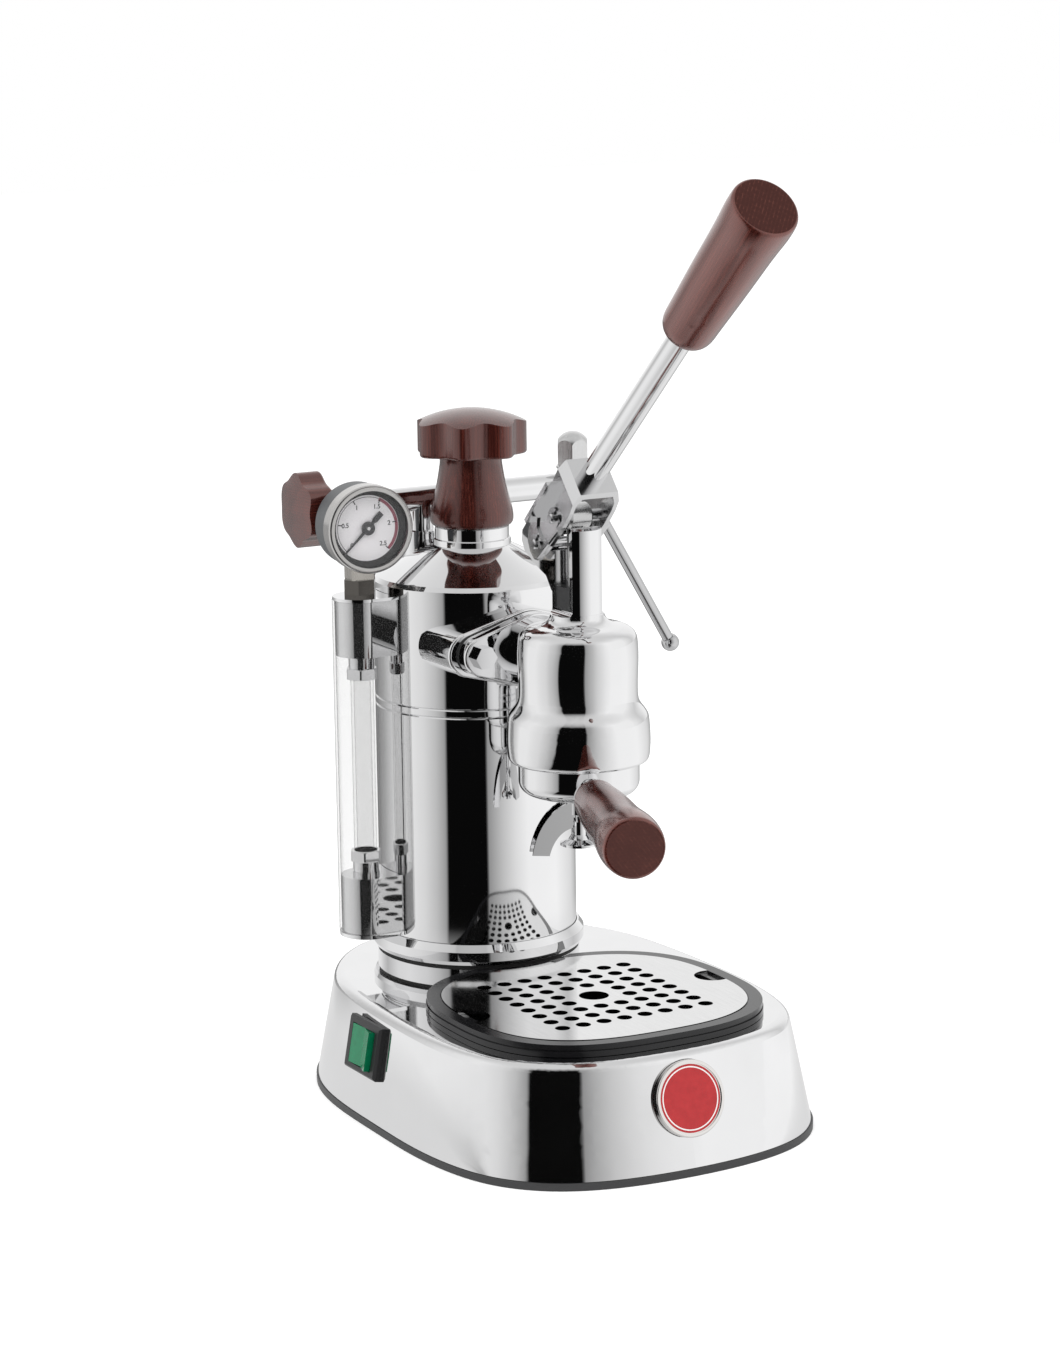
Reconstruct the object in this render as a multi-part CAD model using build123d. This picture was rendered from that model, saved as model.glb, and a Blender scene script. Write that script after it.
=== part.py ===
from build123d import *
import math
import os

os.makedirs("parts", exist_ok=True)

# Frame: millimetres, Z up, X to the right seen from the front, front toward minus Y
# The boiler axis is X = 0, Y = 0 and the underside is Z = 0

# Main sizes: the boiler radius carries the ring, the glass, the group and the lever with it
BOILER_RADIUS = 49.6
CUT_REACH = 300.0
HEX_SIDE_COUNT = 6

# Base shell
BASE_TOP_Z = 56.0
BASE_RIM_Z = 3.8
BASE_WALL = 1.5
BASE_EDGE_RADIUS = 5.0
FOOT_HALF_OUTLINE = (
    (0.0, -213.0), (38.0, -209.5), (67.0, -198.0), (86.0, -178.0), (96.0, -150.0), (99.8, -118.0),
    (100.0, -80.0), (99.0, -40.0), (93.0, -4.0), (79.0, 25.0), (57.0, 47.0), (29.0, 60.0), (0.0, 64.0),
)
CROWN_HALF_OUTLINE = (
    (0.0, -200.0), (35.0, -197.0), (61.0, -186.5), (78.0, -168.5), (87.0, -143.0), (90.3, -114.0),
    (90.3, -78.0), (88.0, -39.0), (82.0, -5.0), (69.5, 21.0), (51.0, 42.0), (27.0, 55.0), (0.0, 59.5),
)
COLLAR_STEP = 1.4
COLLAR_RADIUS = BOILER_RADIUS + COLLAR_STEP
COLLAR_TOP_Z = 60.5
SPIGOT_INSET = 10.0
SPIGOT_RADIUS = BOILER_RADIUS - SPIGOT_INSET
SPIGOT_CLEARANCE = 0.4
COLLAR_HOLE_RADIUS = SPIGOT_RADIUS + SPIGOT_CLEARANCE

# Bottom cover and its screws
COVER_FLOOR = 2.0
COVER_RIM = 3.0
COVER_JOINT_GAP = 0.2
SCREW_SPOTS = ((-78.0, -140.0), (78.0, -140.0), (-66.0, 10.0), (66.0, 10.0))
SCREW_POST_RADIUS = 5.0
SCREW_HEAD_RADIUS = 3.2
SCREW_HEAD_HEIGHT = 1.4
SCREW_SHANK_RADIUS = 1.45
SCREW_HOLE_RADIUS = 1.5
SCREW_LENGTH = 12.0

# Drip tray and grid
TRAY_CENTRE_Y = -118.0
TRAY_HALF_X = 76.0
TRAY_HALF_Y = 72.5
TRAY_POWER = 2.7
TRAY_BOTTOM_Z = 27.0
TRAY_WALL = 2.0
TRAY_RIM_LOW_Z = 56.2
TRAY_GROOVE_LOW_Z = 58.9
TRAY_GROOVE_HIGH_Z = 59.5
TRAY_GROOVE_DEPTH = 0.8
TRAY_RIM_TOP_Z = 62.0
TRAY_LEDGE_Z = 60.7
TRAY_POCKET_HALF_X = 69.5
TRAY_POCKET_HALF_Y = 66.0
TRAY_WELL_HALF_X = 65.0
TRAY_WELL_HALF_Y = 61.5
TRAY_REAR_CLIP_STEP = 4.6
TRAY_REAR_CLIP_RADIUS = BOILER_RADIUS + TRAY_REAR_CLIP_STEP
TRAY_OPENING_GAP = 0.8
GRID_HALF_X = 69.0
GRID_HALF_Y = 65.5
GRID_TOP_Z = 62.3
GRID_THICKNESS = 1.5
GRID_REAR_CLIP_STEP = 6.0
GRID_REAR_CLIP_RADIUS = BOILER_RADIUS + GRID_REAR_CLIP_STEP
GRID_PITCH = 11.1
GRID_COUNT = 8
GRID_HOLE_RADIUS = 3.6
GRID_CENTRE_HOLE_RADIUS = 7.2
GRID_NOTCH_RADIUS = 9.0
GRID_NOTCH_X = 66.5

# Badge
BADGE_Y = -206.3
BADGE_Z = 35.5
BADGE_RADIUS = 18.0
BADGE_RIM_WIDTH = 1.6
BADGE_THICKNESS = 3.2
BADGE_RIM_RAISE = 0.6
BADGE_TILT = 14.0

# Switch on the left wall
SWITCH_POINT = (-93.6, -62.0, 36.5)
SWITCH_TILT = 10.3
SWITCH_YAW = 0.6
SWITCH_BEZEL_WIDTH = 32.0
SWITCH_BEZEL_HEIGHT = 26.0
SWITCH_BEZEL_PROUD = 3.6
SWITCH_BEZEL_CHAMFER = 1.2
SWITCH_BODY_WIDTH = 27.0
SWITCH_BODY_HEIGHT = 21.6
SWITCH_BODY_DEPTH = 18.0
SWITCH_WELL_WIDTH = 23.0
SWITCH_WELL_HEIGHT = 19.6
SWITCH_WELL_DEPTH = 9.0
SWITCH_FIT = 0.2
ROCKER_WIDTH = 20.6
ROCKER_HEIGHT = 19.0
ROCKER_LOW = 4.1
ROCKER_HIGH = 6.4
ROCKER_MID = 3.0
ROCKER_DEPTH = 4.0
ROCKER_AXLE_RADIUS = 1.2

# Mains inlet at the back
INLET_Z = 29.0
INLET_FACE_Y = 66.0
INLET_PAD_WIDTH = 36.0
INLET_PAD_HEIGHT = 28.0
INLET_PAD_BACK_Y = 48.0
INLET_FLANGE_WIDTH = 31.0
INLET_FLANGE_HEIGHT = 24.0
INLET_FLANGE = 2.0
INLET_BODY_WIDTH = 27.4
INLET_BODY_HEIGHT = 19.6
INLET_BODY_DEPTH = 24.0
INLET_SOCKET_WIDTH = 24.4
INLET_SOCKET_HEIGHT = 16.6
INLET_SOCKET_DEPTH = 19.0
INLET_SOCKET_CHAMFER = 5.0
INLET_PIN_WIDTH = 4.0
INLET_PIN_THICKNESS = 2.0
INLET_PIN_LENGTH = 16.0
INLET_PIN_ROOT = 3.0
INLET_PIN_SPACING = 7.0
INLET_EARTH_RISE = 4.0
INLET_PIN_COUNT = 3

# Boiler
BOILER_WALL = 1.5
BOILER_SEAT_Z = 63.0
BOILER_FLOOR_Z = 65.0
BOILER_SHOULDER_Z = 250.5
BOILER_SHOULDER_BLEND = 1.6
BOILER_SHOULDER_BLEND_RISE = 0.55
NECK_FOOT_Z = 265.5
NECK_LIP_RADIUS = 19.3
NECK_LIP_TOP_Z = 268.3
NECK_RADIUS = 18.4
NECK_TOP_Z = 274.3
NECK_BORE_RADIUS = 13.5
SPIGOT_BOTTOM_Z = 50.0
SPIGOT_WALL = 4.1
SPIGOT_BORE_RADIUS = SPIGOT_RADIUS - SPIGOT_WALL
GROOVE_HEIGHTS = (186.9, 190.9)
GROOVE_HALF_WIDTH = 0.6
GROOVE_DEPTH = 0.45
RING_STEP = 3.6
RING_BEVEL = 1.0
RING_LIP = 1.2
RING_FIT = 0.3
GASKET_STEP = 0.8
RING_RADIUS = BOILER_RADIUS + RING_STEP
RING_TOP_Z = 73.0
RING_BEVEL_Z = 69.6
RING_LOW_Z = 65.0
RING_FOOT_RADIUS = RING_RADIUS - RING_BEVEL
RING_BORE_RADIUS = BOILER_RADIUS + RING_FIT
RING_LIP_RADIUS = BOILER_RADIUS + RING_LIP
GASKET_RADIUS = BOILER_RADIUS + GASKET_STEP
PAD_STAND_OFF = 8.9
PAD_FRONT_Y = -(BOILER_RADIUS + PAD_STAND_OFF)
PAD_BACK_Y = -26.0
PORT_Z = 222.0
PAD_CENTRE_RADIUS = 19.5
PAD_EAR_X = 33.0
PAD_EAR_RADIUS = 11.0
PORT_RADIUS = 6.0

# Heating element
ELEMENT_FLANGE_STEP = 6.4
ELEMENT_FLANGE_RADIUS = SPIGOT_RADIUS + ELEMENT_FLANGE_STEP
ELEMENT_FLANGE_LOW_Z = 44.0
ELEMENT_FLANGE_TOP_Z = 54.3
ELEMENT_FLANGE_FLOOR_Z = 49.8
ELEMENT_TUBE_RADIUS = 4.0
ELEMENT_LOOP_HALF = 16.0
ELEMENT_LOOP_Y = 14.0
ELEMENT_LOOP_TOP_Z = 135.0
ELEMENT_TERMINAL_RADIUS = 2.0
ELEMENT_TERMINAL_LENGTH = 9.0
THERMOSTAT_RADIUS = 11.0
THERMOSTAT_HEIGHT = 9.0
THERMOSTAT_TAB = 3.0
THERMOSTAT_TAB_THICKNESS = 0.8
THERMOSTAT_TAB_SPACING = 5.0

# Boiler cap
CAP_BOTTOM_Z = 274.8
CAP_PROFILE = (
    (18.2, 274.8), (20.2, 276.2), (20.7, 279.0), (20.2, 283.0), (18.4, 290.0), (16.8, 297.0),
    (15.7, 303.5),
    (15.4, 308.0), (16.0, 310.2),
)
CAP_LOBE_LOW_Z = 309.9
CAP_LOBE_TOP_Z = 325.8
CAP_LOBE_RADIUS = 27.8
CAP_LOBE_DIP = 4.2
CAP_LOBE_COUNT = 7
CAP_LOBE_EDGE = 1.6
CAP_DOME_RISE = 6.8
CAP_LOBE_TURN = 27.8
CAP_PLUG_RADIUS = 13.4
CAP_PLUG_LOW_Z = 266.0
CAP_PLUG_FLANGE_RADIUS = 17.6
CAP_PLUG_FLANGE_Z = 274.3
CAP_STUD_RADIUS = 5.0
CAP_STUD_TOP_Z = 300.0
CAP_STUD_FIT = 0.05

# Steam valve, knob and wand
STEAM_Y = 28.5
STEAM_Z = 285.0
STEAM_TUBE_RADIUS = 6.3
STEAM_TUBE_LEFT_X = -56.0
STEAM_TUBE_RIGHT_X = 66.5
STEAM_COLLAR_RADIUS = 7.6
STEAM_COLLAR_LENGTH = 7.0
STEAM_RISER_X = -14.0
STEAM_RISER_RADIUS = 6.4
STEAM_RISER_FOOT_Z = 269.5
STEAM_BOSS_RADIUS = 8.4
STEAM_BOSS_LOW_Z = 250.0
STEAM_BORE_RADIUS = 3.6
SPINDLE_RADIUS = 3.5
SPINDLE_INNER_X = -20.0
SPINDLE_KNOB_X = -72.0
SPINDLE_POINT = 3.0
SPINDLE_POINT_RADIUS = 1.2
KNOB_FACE_X = -84.0
KNOB_BACK_X = -69.0
KNOB_RADIUS = 18.6
KNOB_DIP = 2.5
KNOB_LOBE_COUNT = 6
KNOB_EDGE = 1.6
KNOB_DOME = 2.0
KNOB_NECK_X = -57.0
KNOB_NECK_WIDE = 10.5
KNOB_NECK_SLIM = 7.2
KNOB_BORE_RADIUS = 3.55
JOINT_X = 73.5
JOINT_RADIUS = 7.0
JOINT_LOW_Z = 279.0
JOINT_TOP_Z = 293.0
JOINT_BORE_RADIUS = 4.1
NUT_HEX_FLATS = 15.0
NUT_FLANGE_RADIUS = 8.4
NUT_FLANGE_LOW_Z = 293.0
NUT_HEX_LOW_Z = 295.4
NUT_TOP_Z = 312.4
NUT_DOME_RISE = 6.4
WAND_RADIUS = 2.9
WAND_STEM_RADIUS = 4.0
WAND_STEM_TOP_Z = 292.6
WAND_HUB_RADIUS = 5.6
WAND_HUB_LOW_Z = 270.5
WAND_HUB_TOP_Z = 278.7
WAND_BEND_X = 86.5
WAND_BEND_Z = 272.5
WAND_TIP_X = 129.2
WAND_TIP_Z = 199.5
WAND_BEND_RADIUS = 12.0
WAND_BALL_RADIUS = 4.7
WAND_BALL_OVERLAP = 3.0

# Sight glass
SIGHT_BOILER_OFFSET = 12.7
SIGHT_X = -(BOILER_RADIUS + SIGHT_BOILER_OFFSET)
SIGHT_TUBE_RADIUS = 5.7
SIGHT_TUBE_BORE = 4.2
SIGHT_COVER_RADIUS = 14.0
SIGHT_COVER_WALL = 1.3
SIGHT_COVER_LOW_Z = 76.5
SIGHT_COVER_TOP_Z = 243.6
SIGHT_COVER_BOILER_GAP = 0.3
SIGHT_BLOCK_RADIUS = 12.6
SIGHT_CAP_PROUD = 1.6
SIGHT_FOOT_PROUD = 2.0
SIGHT_CAP_GAP = 0.1
SIGHT_UPPER_HEIGHT = 29.2
SIGHT_LOWER_HEIGHT = 30.5
SIGHT_UPPER_TOP_Z = SIGHT_COVER_TOP_Z + SIGHT_CAP_PROUD
SIGHT_UPPER_LOW_Z = SIGHT_UPPER_TOP_Z - SIGHT_UPPER_HEIGHT
SIGHT_LOWER_LOW_Z = SIGHT_COVER_LOW_Z - SIGHT_FOOT_PROUD
SIGHT_LOWER_TOP_Z = SIGHT_LOWER_LOW_Z + SIGHT_LOWER_HEIGHT
SIGHT_TUBE_TOP_DEEP = 6.0
SIGHT_TUBE_LOW_DEEP = 4.0
SIGHT_TUBE_LOW_Z = SIGHT_LOWER_TOP_Z - SIGHT_TUBE_LOW_DEEP
SIGHT_TUBE_TOP_Z = SIGHT_UPPER_LOW_Z + SIGHT_TUBE_TOP_DEEP
SIGHT_CAP_RADIUS = 13.7
SIGHT_NIPPLE_RADIUS = 5.0
SIGHT_NIPPLE_FIT = 0.03
SIGHT_NIPPLE_DEEP = 3.0
SIGHT_FLANGE_RADIUS = 6.8
SIGHT_FLANGE_THICKNESS = 1.8
SIGHT_NECK_RADIUS = 6.4
SIGHT_NECK_LENGTH = 5.0
SIGHT_NUT_FLATS = 14.2
SIGHT_NUT_LENGTH = 5.4
SIGHT_NUT_ROUND_SHARE = 1.12
SIGHT_NUT_EDGE = 0.75
SIGHT_TUBE_FIT = 0.05
SIGHT_SEAL_LENGTH = 3.0
SIGHT_SEAL_RADIUS = 7.2

# Pressure gauge
GAUGE_RISE = 35.0
GAUGE_Z = SIGHT_UPPER_TOP_Z + GAUGE_RISE
GAUGE_TURN = 6.0
GAUGE_FRONT = 18.6
GAUGE_BACK = -6.0
GAUGE_RADIUS = 21.6
GAUGE_CASE_RADIUS = 20.6
GAUGE_CASE_WALL = 1.2
GAUGE_BEZEL_DEPTH = 9.0
GAUGE_BEZEL_OPENING = 18.6
GAUGE_BEZEL_LIP = 1.4
GAUGE_GLASS_RADIUS = 19.2
GAUGE_GLASS_THICKNESS = 1.2
GAUGE_GLASS_BACK = 16.0
GAUGE_DIAL_RADIUS = 19.2
GAUGE_DIAL_THICKNESS = 0.8
GAUGE_DIAL_FRONT = 12.4
GAUGE_BEZEL_FIT = 0.05
NEEDLE_LENGTH = 17.0
NEEDLE_TAIL = 10.0
NEEDLE_PADDLE_LENGTH = 5.0
NEEDLE_PADDLE_WIDTH = 2.8
NEEDLE_WIDTH = 1.6
NEEDLE_TIP_WIDTH = 0.5
NEEDLE_THICKNESS = 0.5
NEEDLE_BACK = 13.2
NEEDLE_HUB_RADIUS = 3.3
GAUGE_POST_RADIUS = 2.3
NEEDLE_HUB_HEIGHT = 1.3
NEEDLE_PIN_RADIUS = 0.6
NEEDLE_PIN_FIT = 0.04
NEEDLE_REST_ANGLE = -135.0
GAUGE_STEM_HALF = 6.0
GAUGE_NUT_FLATS = 14.6
GAUGE_STUB_RADIUS = 3.2
GAUGE_STUB_LENGTH = 3.0
GAUGE_STEM_EDGE = 0.8
GAUGE_NUT_HEIGHT = 8.3
GAUGE_STEM_HEIGHT = 8.5
GAUGE_NUT_LOW_Z = SIGHT_UPPER_TOP_Z
GAUGE_STEM_LOW_Z = GAUGE_NUT_LOW_Z + GAUGE_NUT_HEIGHT

# Group
FLANGE_GASKET = 1.5
FLANGE_THICKNESS = 6.5
GROUP_REACH = 39.2
FLANGE_BACK_Y = PAD_FRONT_Y - FLANGE_GASKET
FLANGE_FRONT_Y = FLANGE_BACK_Y - FLANGE_THICKNESS
GROUP_Y = FLANGE_FRONT_Y - GROUP_REACH
GROUP_PROFILE = (
    (31.4, 175.8), (33.2, 177.0), (33.8, 179.2), (33.8, 194.5), (33.2, 198.0), (31.0, 201.4),
    (29.0, 204.6), (28.4, 208.4),
    (28.4, 233.5), (27.6, 236.8), (25.4, 239.2), (22.0, 240.8), (17.4, 241.8), (14.6, 243.4),
    (12.8, 247.4),
)
COLUMN_RADIUS = 12.6
COLUMN_FLAT_X = 8.0
COLUMN_FLAT_LOW_Z = 246.6
COLUMN_FLAT_RUNOUT = 2.5
COLUMN_TOP_Z = 288.6
COLUMN_TOP_EDGE = 1.0
COLUMN_SLOT_HALF_Y = 7.0
COLUMN_SLOT_LOW_Z = 249.0
GROUP_BORE_RADIUS = 24.5
GROUP_BORE_TOP_Z = 236.4
CHAMBER_TOP_Z = 190.0
CHAMBER_RADIUS = 31.4
LIP_TOP_Z = 179.2
LIP_RADIUS = 29.3
LIP_COUNT = 3
LIP_GAP_DEGREES = 46.0
LIP_GAP_START = 28.0
FLANGE_CENTRE_RADIUS = 18.5
FLANGE_EAR_X = 30.0
FLANGE_EAR_RADIUS = 9.6
FLANGE_NECK_RADIUS = 15.5
FLANGE_EDGE = 1.2
BOLT_SHANK_RADIUS = 3.0
BOLT_FLATS = 10.0
BOLT_HEAD = 4.2
BOLT_DEPTH = 14.0
BOLT_FIT = 0.05
GUIDE_RADIUS = 7.5
GUIDE_LOW_Z = 236.4
GUIDE_TOP_Z = 259.6
GUIDE_INSET = 0.5
EAR_Z = 279.8
EAR_SLOT_FRONT = 8.9
EAR_SLOT_BACK = 22.5
EAR_SLOT_HALF_Z = 4.1
EAR_OUTLINE = (
    (0.0, 288.4), (25.7, 288.4), (33.7, 286.6), (38.5, 282.0), (39.3, 277.0), (36.3, 272.0), (25.7, 266.8),
    (15.7, 263.2), (10.7, 257.0), (0.0, 252.0),
)
SLEEVE_RADIUS = 24.45
SLEEVE_BORE_RADIUS = 22.5
SLEEVE_PORT_RADIUS = 2.5
SCREEN_RADIUS = 22.3
SCREEN_LOW_Z = 186.6
SCREEN_THICKNESS = 1.0
SCREEN_RIM = 2.4
SCREEN_HOLE_RADIUS = 1.2
HOLE_RING_RADII = (0.0, 7.6, 15.0)
HOLE_RING_STEP_COUNT = 6
PF_GASKET_BORE = 22.6
PF_GASKET_RADIUS = 28.9
PF_GASKET_LOW_Z = 185.0

# Piston and rod
PISTON_RADIUS = 22.2
PISTON_LOW_Z = 215.2
PISTON_HEIGHT = 11.0
PISTON_GROOVE_DEPTH = 2.4
PISTON_GROOVE_HEIGHT = 2.6
PISTON_GROOVE_HEIGHTS = (1.6, 6.8)
SEAL_RADIUS = 22.44
SEAL_FIT = 0.05
ROD_RADIUS = 4.5
ROD_BORE_FIT = 0.06
ROD_PIN_Z = 293.2
ROD_THREAD_DEPTH = 6.0
EYE_RADIUS = 6.2
EYE_HALF_X = 6.0

# Lever: along is the distance from the rod pin toward the handle, rise is square to it
LEVER_ANGLE = 41.5
FULCRUM_ALONG = -22.2
AXIS_RISE = 5.2
PIN_RADIUS = 2.5
PIN_FIT = 0.05
PIN_HALF_LENGTH = 14.6
PIN_EDGE = 0.6
CLIP_RADIUS = 5.0
CLIP_INNER_RADIUS = 2.6
CLIP_THICKNESS = 0.8
CLIP_SIDE_GAP = 0.1
CLIP_GAP_HALF = 1.5
TINE_INNER_X = 10.2
TINE_OUTER_X = 12.4
WEB_HALF_X = 10.0
WEB_INNER_HALF_X = 8.2
WEB_ALONG = 25.6
WEB_THICKNESS = 3.0
SHOULDER_ALONG = 19.6
SHOULDER_INNER_ALONG = 18.4
TINE_END_ALONG = -31.0
TINE_OUTLINE = (
    (25.6, 15.2), (24.0, 15.2), (9.0, 12.6), (-16.0, 11.4), (-24.0, 9.6), (-28.4, 6.0), (-29.8, 1.0),
    (-29.2, -4.0),
    (-26.5, -6.6), (-12.0, -8.0), (4.0, -8.4), (14.0, -7.6), (25.6, -4.8),
)
PANEL_OUTLINE = (
    (18.6, 3.0), (17.6, 8.6), (14.0, 9.8), (-13.0, 8.8), (-16.4, 6.0), (-16.8, -1.0), (-13.5, -4.6),
    (6.0, -5.8),
    (14.5, -5.2), (18.0, -2.5),
)
PANEL_DEPTH = 0.9
STRIP_THICKNESS = 2.0
REAR_STRIP_OUT = 4.6
REAR_STRIP = ((13.0, 12.0), (-17.0, 11.0))
FRONT_STRIP_OUT = 1.6
FRONT_STRIP = ((2.0, -8.4), (-24.0, -7.0))
LEVER_ROD_RADIUS = 5.9
LEVER_SPIGOT_RADIUS = 4.5
LEVER_SPIGOT_FIT = 0.03
LEVER_TANG_RADIUS = 4.0
LEVER_RIVET_RADIUS = 6.4
LEVER_RIVET_HEIGHT = 2.0
HANDLE_START_ALONG = 137.5
HANDLE_END_ALONG = 227.0
HANDLE_TANG_END_ALONG = 205.0
HANDLE_PROFILE = (
    (8.6, 137.5), (10.6, 138.4), (12.0, 141.0), (12.6, 146.0), (13.2, 160.0), (14.2, 185.0), (15.2, 210.0),
    (15.6, 224.6),
    (15.2, 226.3), (13.8, 227.0),
)
HANDLE_CROWN = 0.8

# Portafilter
PF_TURN = 18.9
PF_RING_RADIUS = 28.9
PF_RING_BORE = 26.2
PF_RIM_TOP_Z = 183.6
PF_FLOOR_Z = 160.0
PF_FLOOR = 2.5
PF_EDGE = 6.5
PF_LUG_RADIUS = 31.0
PF_LUG_LOW_Z = 179.4
PF_LUG_TOP_Z = 182.2
PF_LUG_DEGREES = 36.0
PF_LUG_START = -27.0
PF_DRAIN_RADIUS = 4.0
BASKET_RADIUS = 25.6
BASKET_WALL = 0.6
BASKET_RIM_RADIUS = 28.2
BASKET_RIM_TOP_Z = 184.9
BASKET_FLOOR_Z = 163.4
BASKET_FLOOR_RADIUS = 24.2
BASKET_HOLE_RADIUS = 1.0
PF_AXIS_Z = 165.5
FERRULE_END = 40.0
FERRULE_ROOT_RADIUS = 6.5
FERRULE_WIDE_RADIUS = 9.6
FERRULE_STEP = 33.0
FERRULE_FLARE_END = 38.0
PF_HANDLE_TANG_RADIUS = 4.0
PF_HANDLE_TANG_END = 110.0
PF_HANDLE_PROFILE = (
    (40.0, 8.2), (41.6, 9.8), (46.0, 10.6), (60.0, 11.6), (80.0, 12.6), (105.0, 13.6), (132.8, 14.3),
    (134.4, 13.8),
    (135.0, 12.8),
)
SPOUT_HUB_PROFILE = (
    (0.0, 160.0), (8.6, 160.0), (8.6, 158.4), (6.4, 155.5), (6.4, 150.0), (4.0, 146.0), (4.0, 139.6),
    (5.4, 137.4),
    (9.4, 135.6), (9.4, 134.4), (0.0, 134.0),
)
SPOUT_DRAIN_RADIUS = 2.6
SPOUT_DRAIN_LOW_Z = 147.5
SPOUT_HALF_WIDTH = 4.6
SPOUT_WALL = 1.1
SPOUT_OUTER_CURVE = ((3.0, 156.0), (9.0, 154.6), (15.5, 149.4), (20.5, 141.6), (23.6, 131.0))
SPOUT_INNER_CURVE = ((15.4, 130.4), (13.4, 135.8), (9.8, 140.6), (4.0, 143.6))
SPOUT_FLOOR = 1.6
SPOUT_GROOVE_LIFT = 9.0
SPOUT_CENTRE = (3.0, 131.0)

# Counts of points on drawn curves
POINTS_PER_LOBE_COUNT = 6
WEDGE_STEP_COUNT = 12
WEDGE_RIM_SHARE = 1.3
TRAY_POINT_COUNT = 32


def mirrored(half):
    """Close a half outline given from the front centre to the back centre."""
    right = list(half)
    left = [(-x, y) for x, y in reversed(half[1:-1])]
    return right + left


def inset(points, amount):
    """Move every point of a closed outline inward along its own normal."""
    moved = []
    total = len(points)
    for index in range(total):
        before = points[index - 1]
        after = points[(index + 1) % total]
        dx = after[0] - before[0]
        dy = after[1] - before[1]
        length = math.hypot(dx, dy)
        moved.append((points[index][0] - amount * dy / length, points[index][1] + amount * dx / length))
    return moved


def smooth_face(points, height):
    """A flat face bounded by one closed curve through the points."""
    curve = Spline(*[(x, y, height) for x, y in points], periodic=True)
    return Face(Wire([curve]))


def polygon_face(points):
    return Face(Wire.make_polygon([Vector(x, y, 0) for x, y in points], close=True))


def turned(points):
    """Solid of revolution about Z from radius and height pairs."""
    face = Face(Wire.make_polygon([Vector(r, 0, z) for r, z in points], close=True))
    return revolve(face, Axis.Z, 360)


def turned_curve(axis_low, curve_points, axis_high):
    """Revolved solid whose outer profile is a smooth curve through the points."""
    curve = Spline(*[(r, 0, z) for r, z in curve_points])
    first = curve_points[0]
    last = curve_points[-1]
    low = Line((0, 0, axis_low), (first[0], 0, first[1]))
    high = Line((last[0], 0, last[1]), (0, 0, axis_high))
    spine = Line((0, 0, axis_high), (0, 0, axis_low))
    return revolve(Face(Wire([low, curve, high, spine])), Axis.Z, 360)


def rod_z(radius, low, high, x=0.0, y=0.0):
    return Pos(x, y, (low + high) / 2) * Cylinder(radius, high - low)


def rod_x(radius, left, right, y, z):
    return Pos((left + right) / 2, y, z) * Rot(0, 90, 0) * Cylinder(radius, right - left)


def rod_y(radius, front, back, x, z):
    return Pos(x, (front + back) / 2, z) * Rot(90, 0, 0) * Cylinder(radius, back - front)


def block(x_low, x_high, y_low, y_high, z_low, z_high):
    middle = Pos((x_low + x_high) / 2, (y_low + y_high) / 2, (z_low + z_high) / 2)
    return middle * Box(x_high - x_low, y_high - y_low, z_high - z_low)


def hexagon(flats, low, high, x=0.0, y=0.0):
    prism = extrude(RegularPolygon(flats / 2, HEX_SIDE_COUNT, major_radius=False), high - low)
    return Pos(x, y, low) * prism


def lobed_points(radius, dip, count):
    """Points of a round outline with evenly spaced rounded lobes."""
    total = count * POINTS_PER_LOBE_COUNT
    points = []
    for index in range(total):
        angle = 2 * math.pi * index / total
        local = radius - dip / 2 + dip / 2 * math.cos(count * angle)
        points.append((local * math.cos(angle), local * math.sin(angle)))
    return points


def rounded_square(half_x, half_y, height, thickness):
    """Prism with a superellipse outline, centred on the drip tray."""
    total = TRAY_POINT_COUNT
    points = []
    for index in range(total):
        angle = 2 * math.pi * index / total
        c = math.cos(angle)
        s = math.sin(angle)
        x = half_x * math.copysign(abs(c) ** (2 / TRAY_POWER), c)
        y = half_y * math.copysign(abs(s) ** (2 / TRAY_POWER), s)
        points.append((x, TRAY_CENTRE_Y + y))
    return extrude(smooth_face(points, height), thickness, dir=(0, 0, 1))


def save(shape, name):
    export_step(shape, "parts/" + name + ".step")


# Base

def base_blank(shrink, low, high):
    foot = smooth_face(inset(mirrored(FOOT_HALF_OUTLINE), shrink), low)
    crown = smooth_face(inset(mirrored(CROWN_HALF_OUTLINE), shrink), high)
    return loft([foot, crown])


def tray_opening():
    wide = TRAY_WELL_HALF_X + TRAY_WALL + TRAY_OPENING_GAP
    deep = TRAY_WELL_HALF_Y + TRAY_WALL + TRAY_OPENING_GAP
    return rounded_square(wide, deep, TRAY_BOTTOM_Z, TRAY_RIM_TOP_Z - TRAY_BOTTOM_Z)


def switch_place():
    return Pos(*SWITCH_POINT) * Rot(0, 0, SWITCH_YAW) * Rot(0, SWITCH_TILT - 90, 0) * Rot(0, 0, 90)


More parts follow.
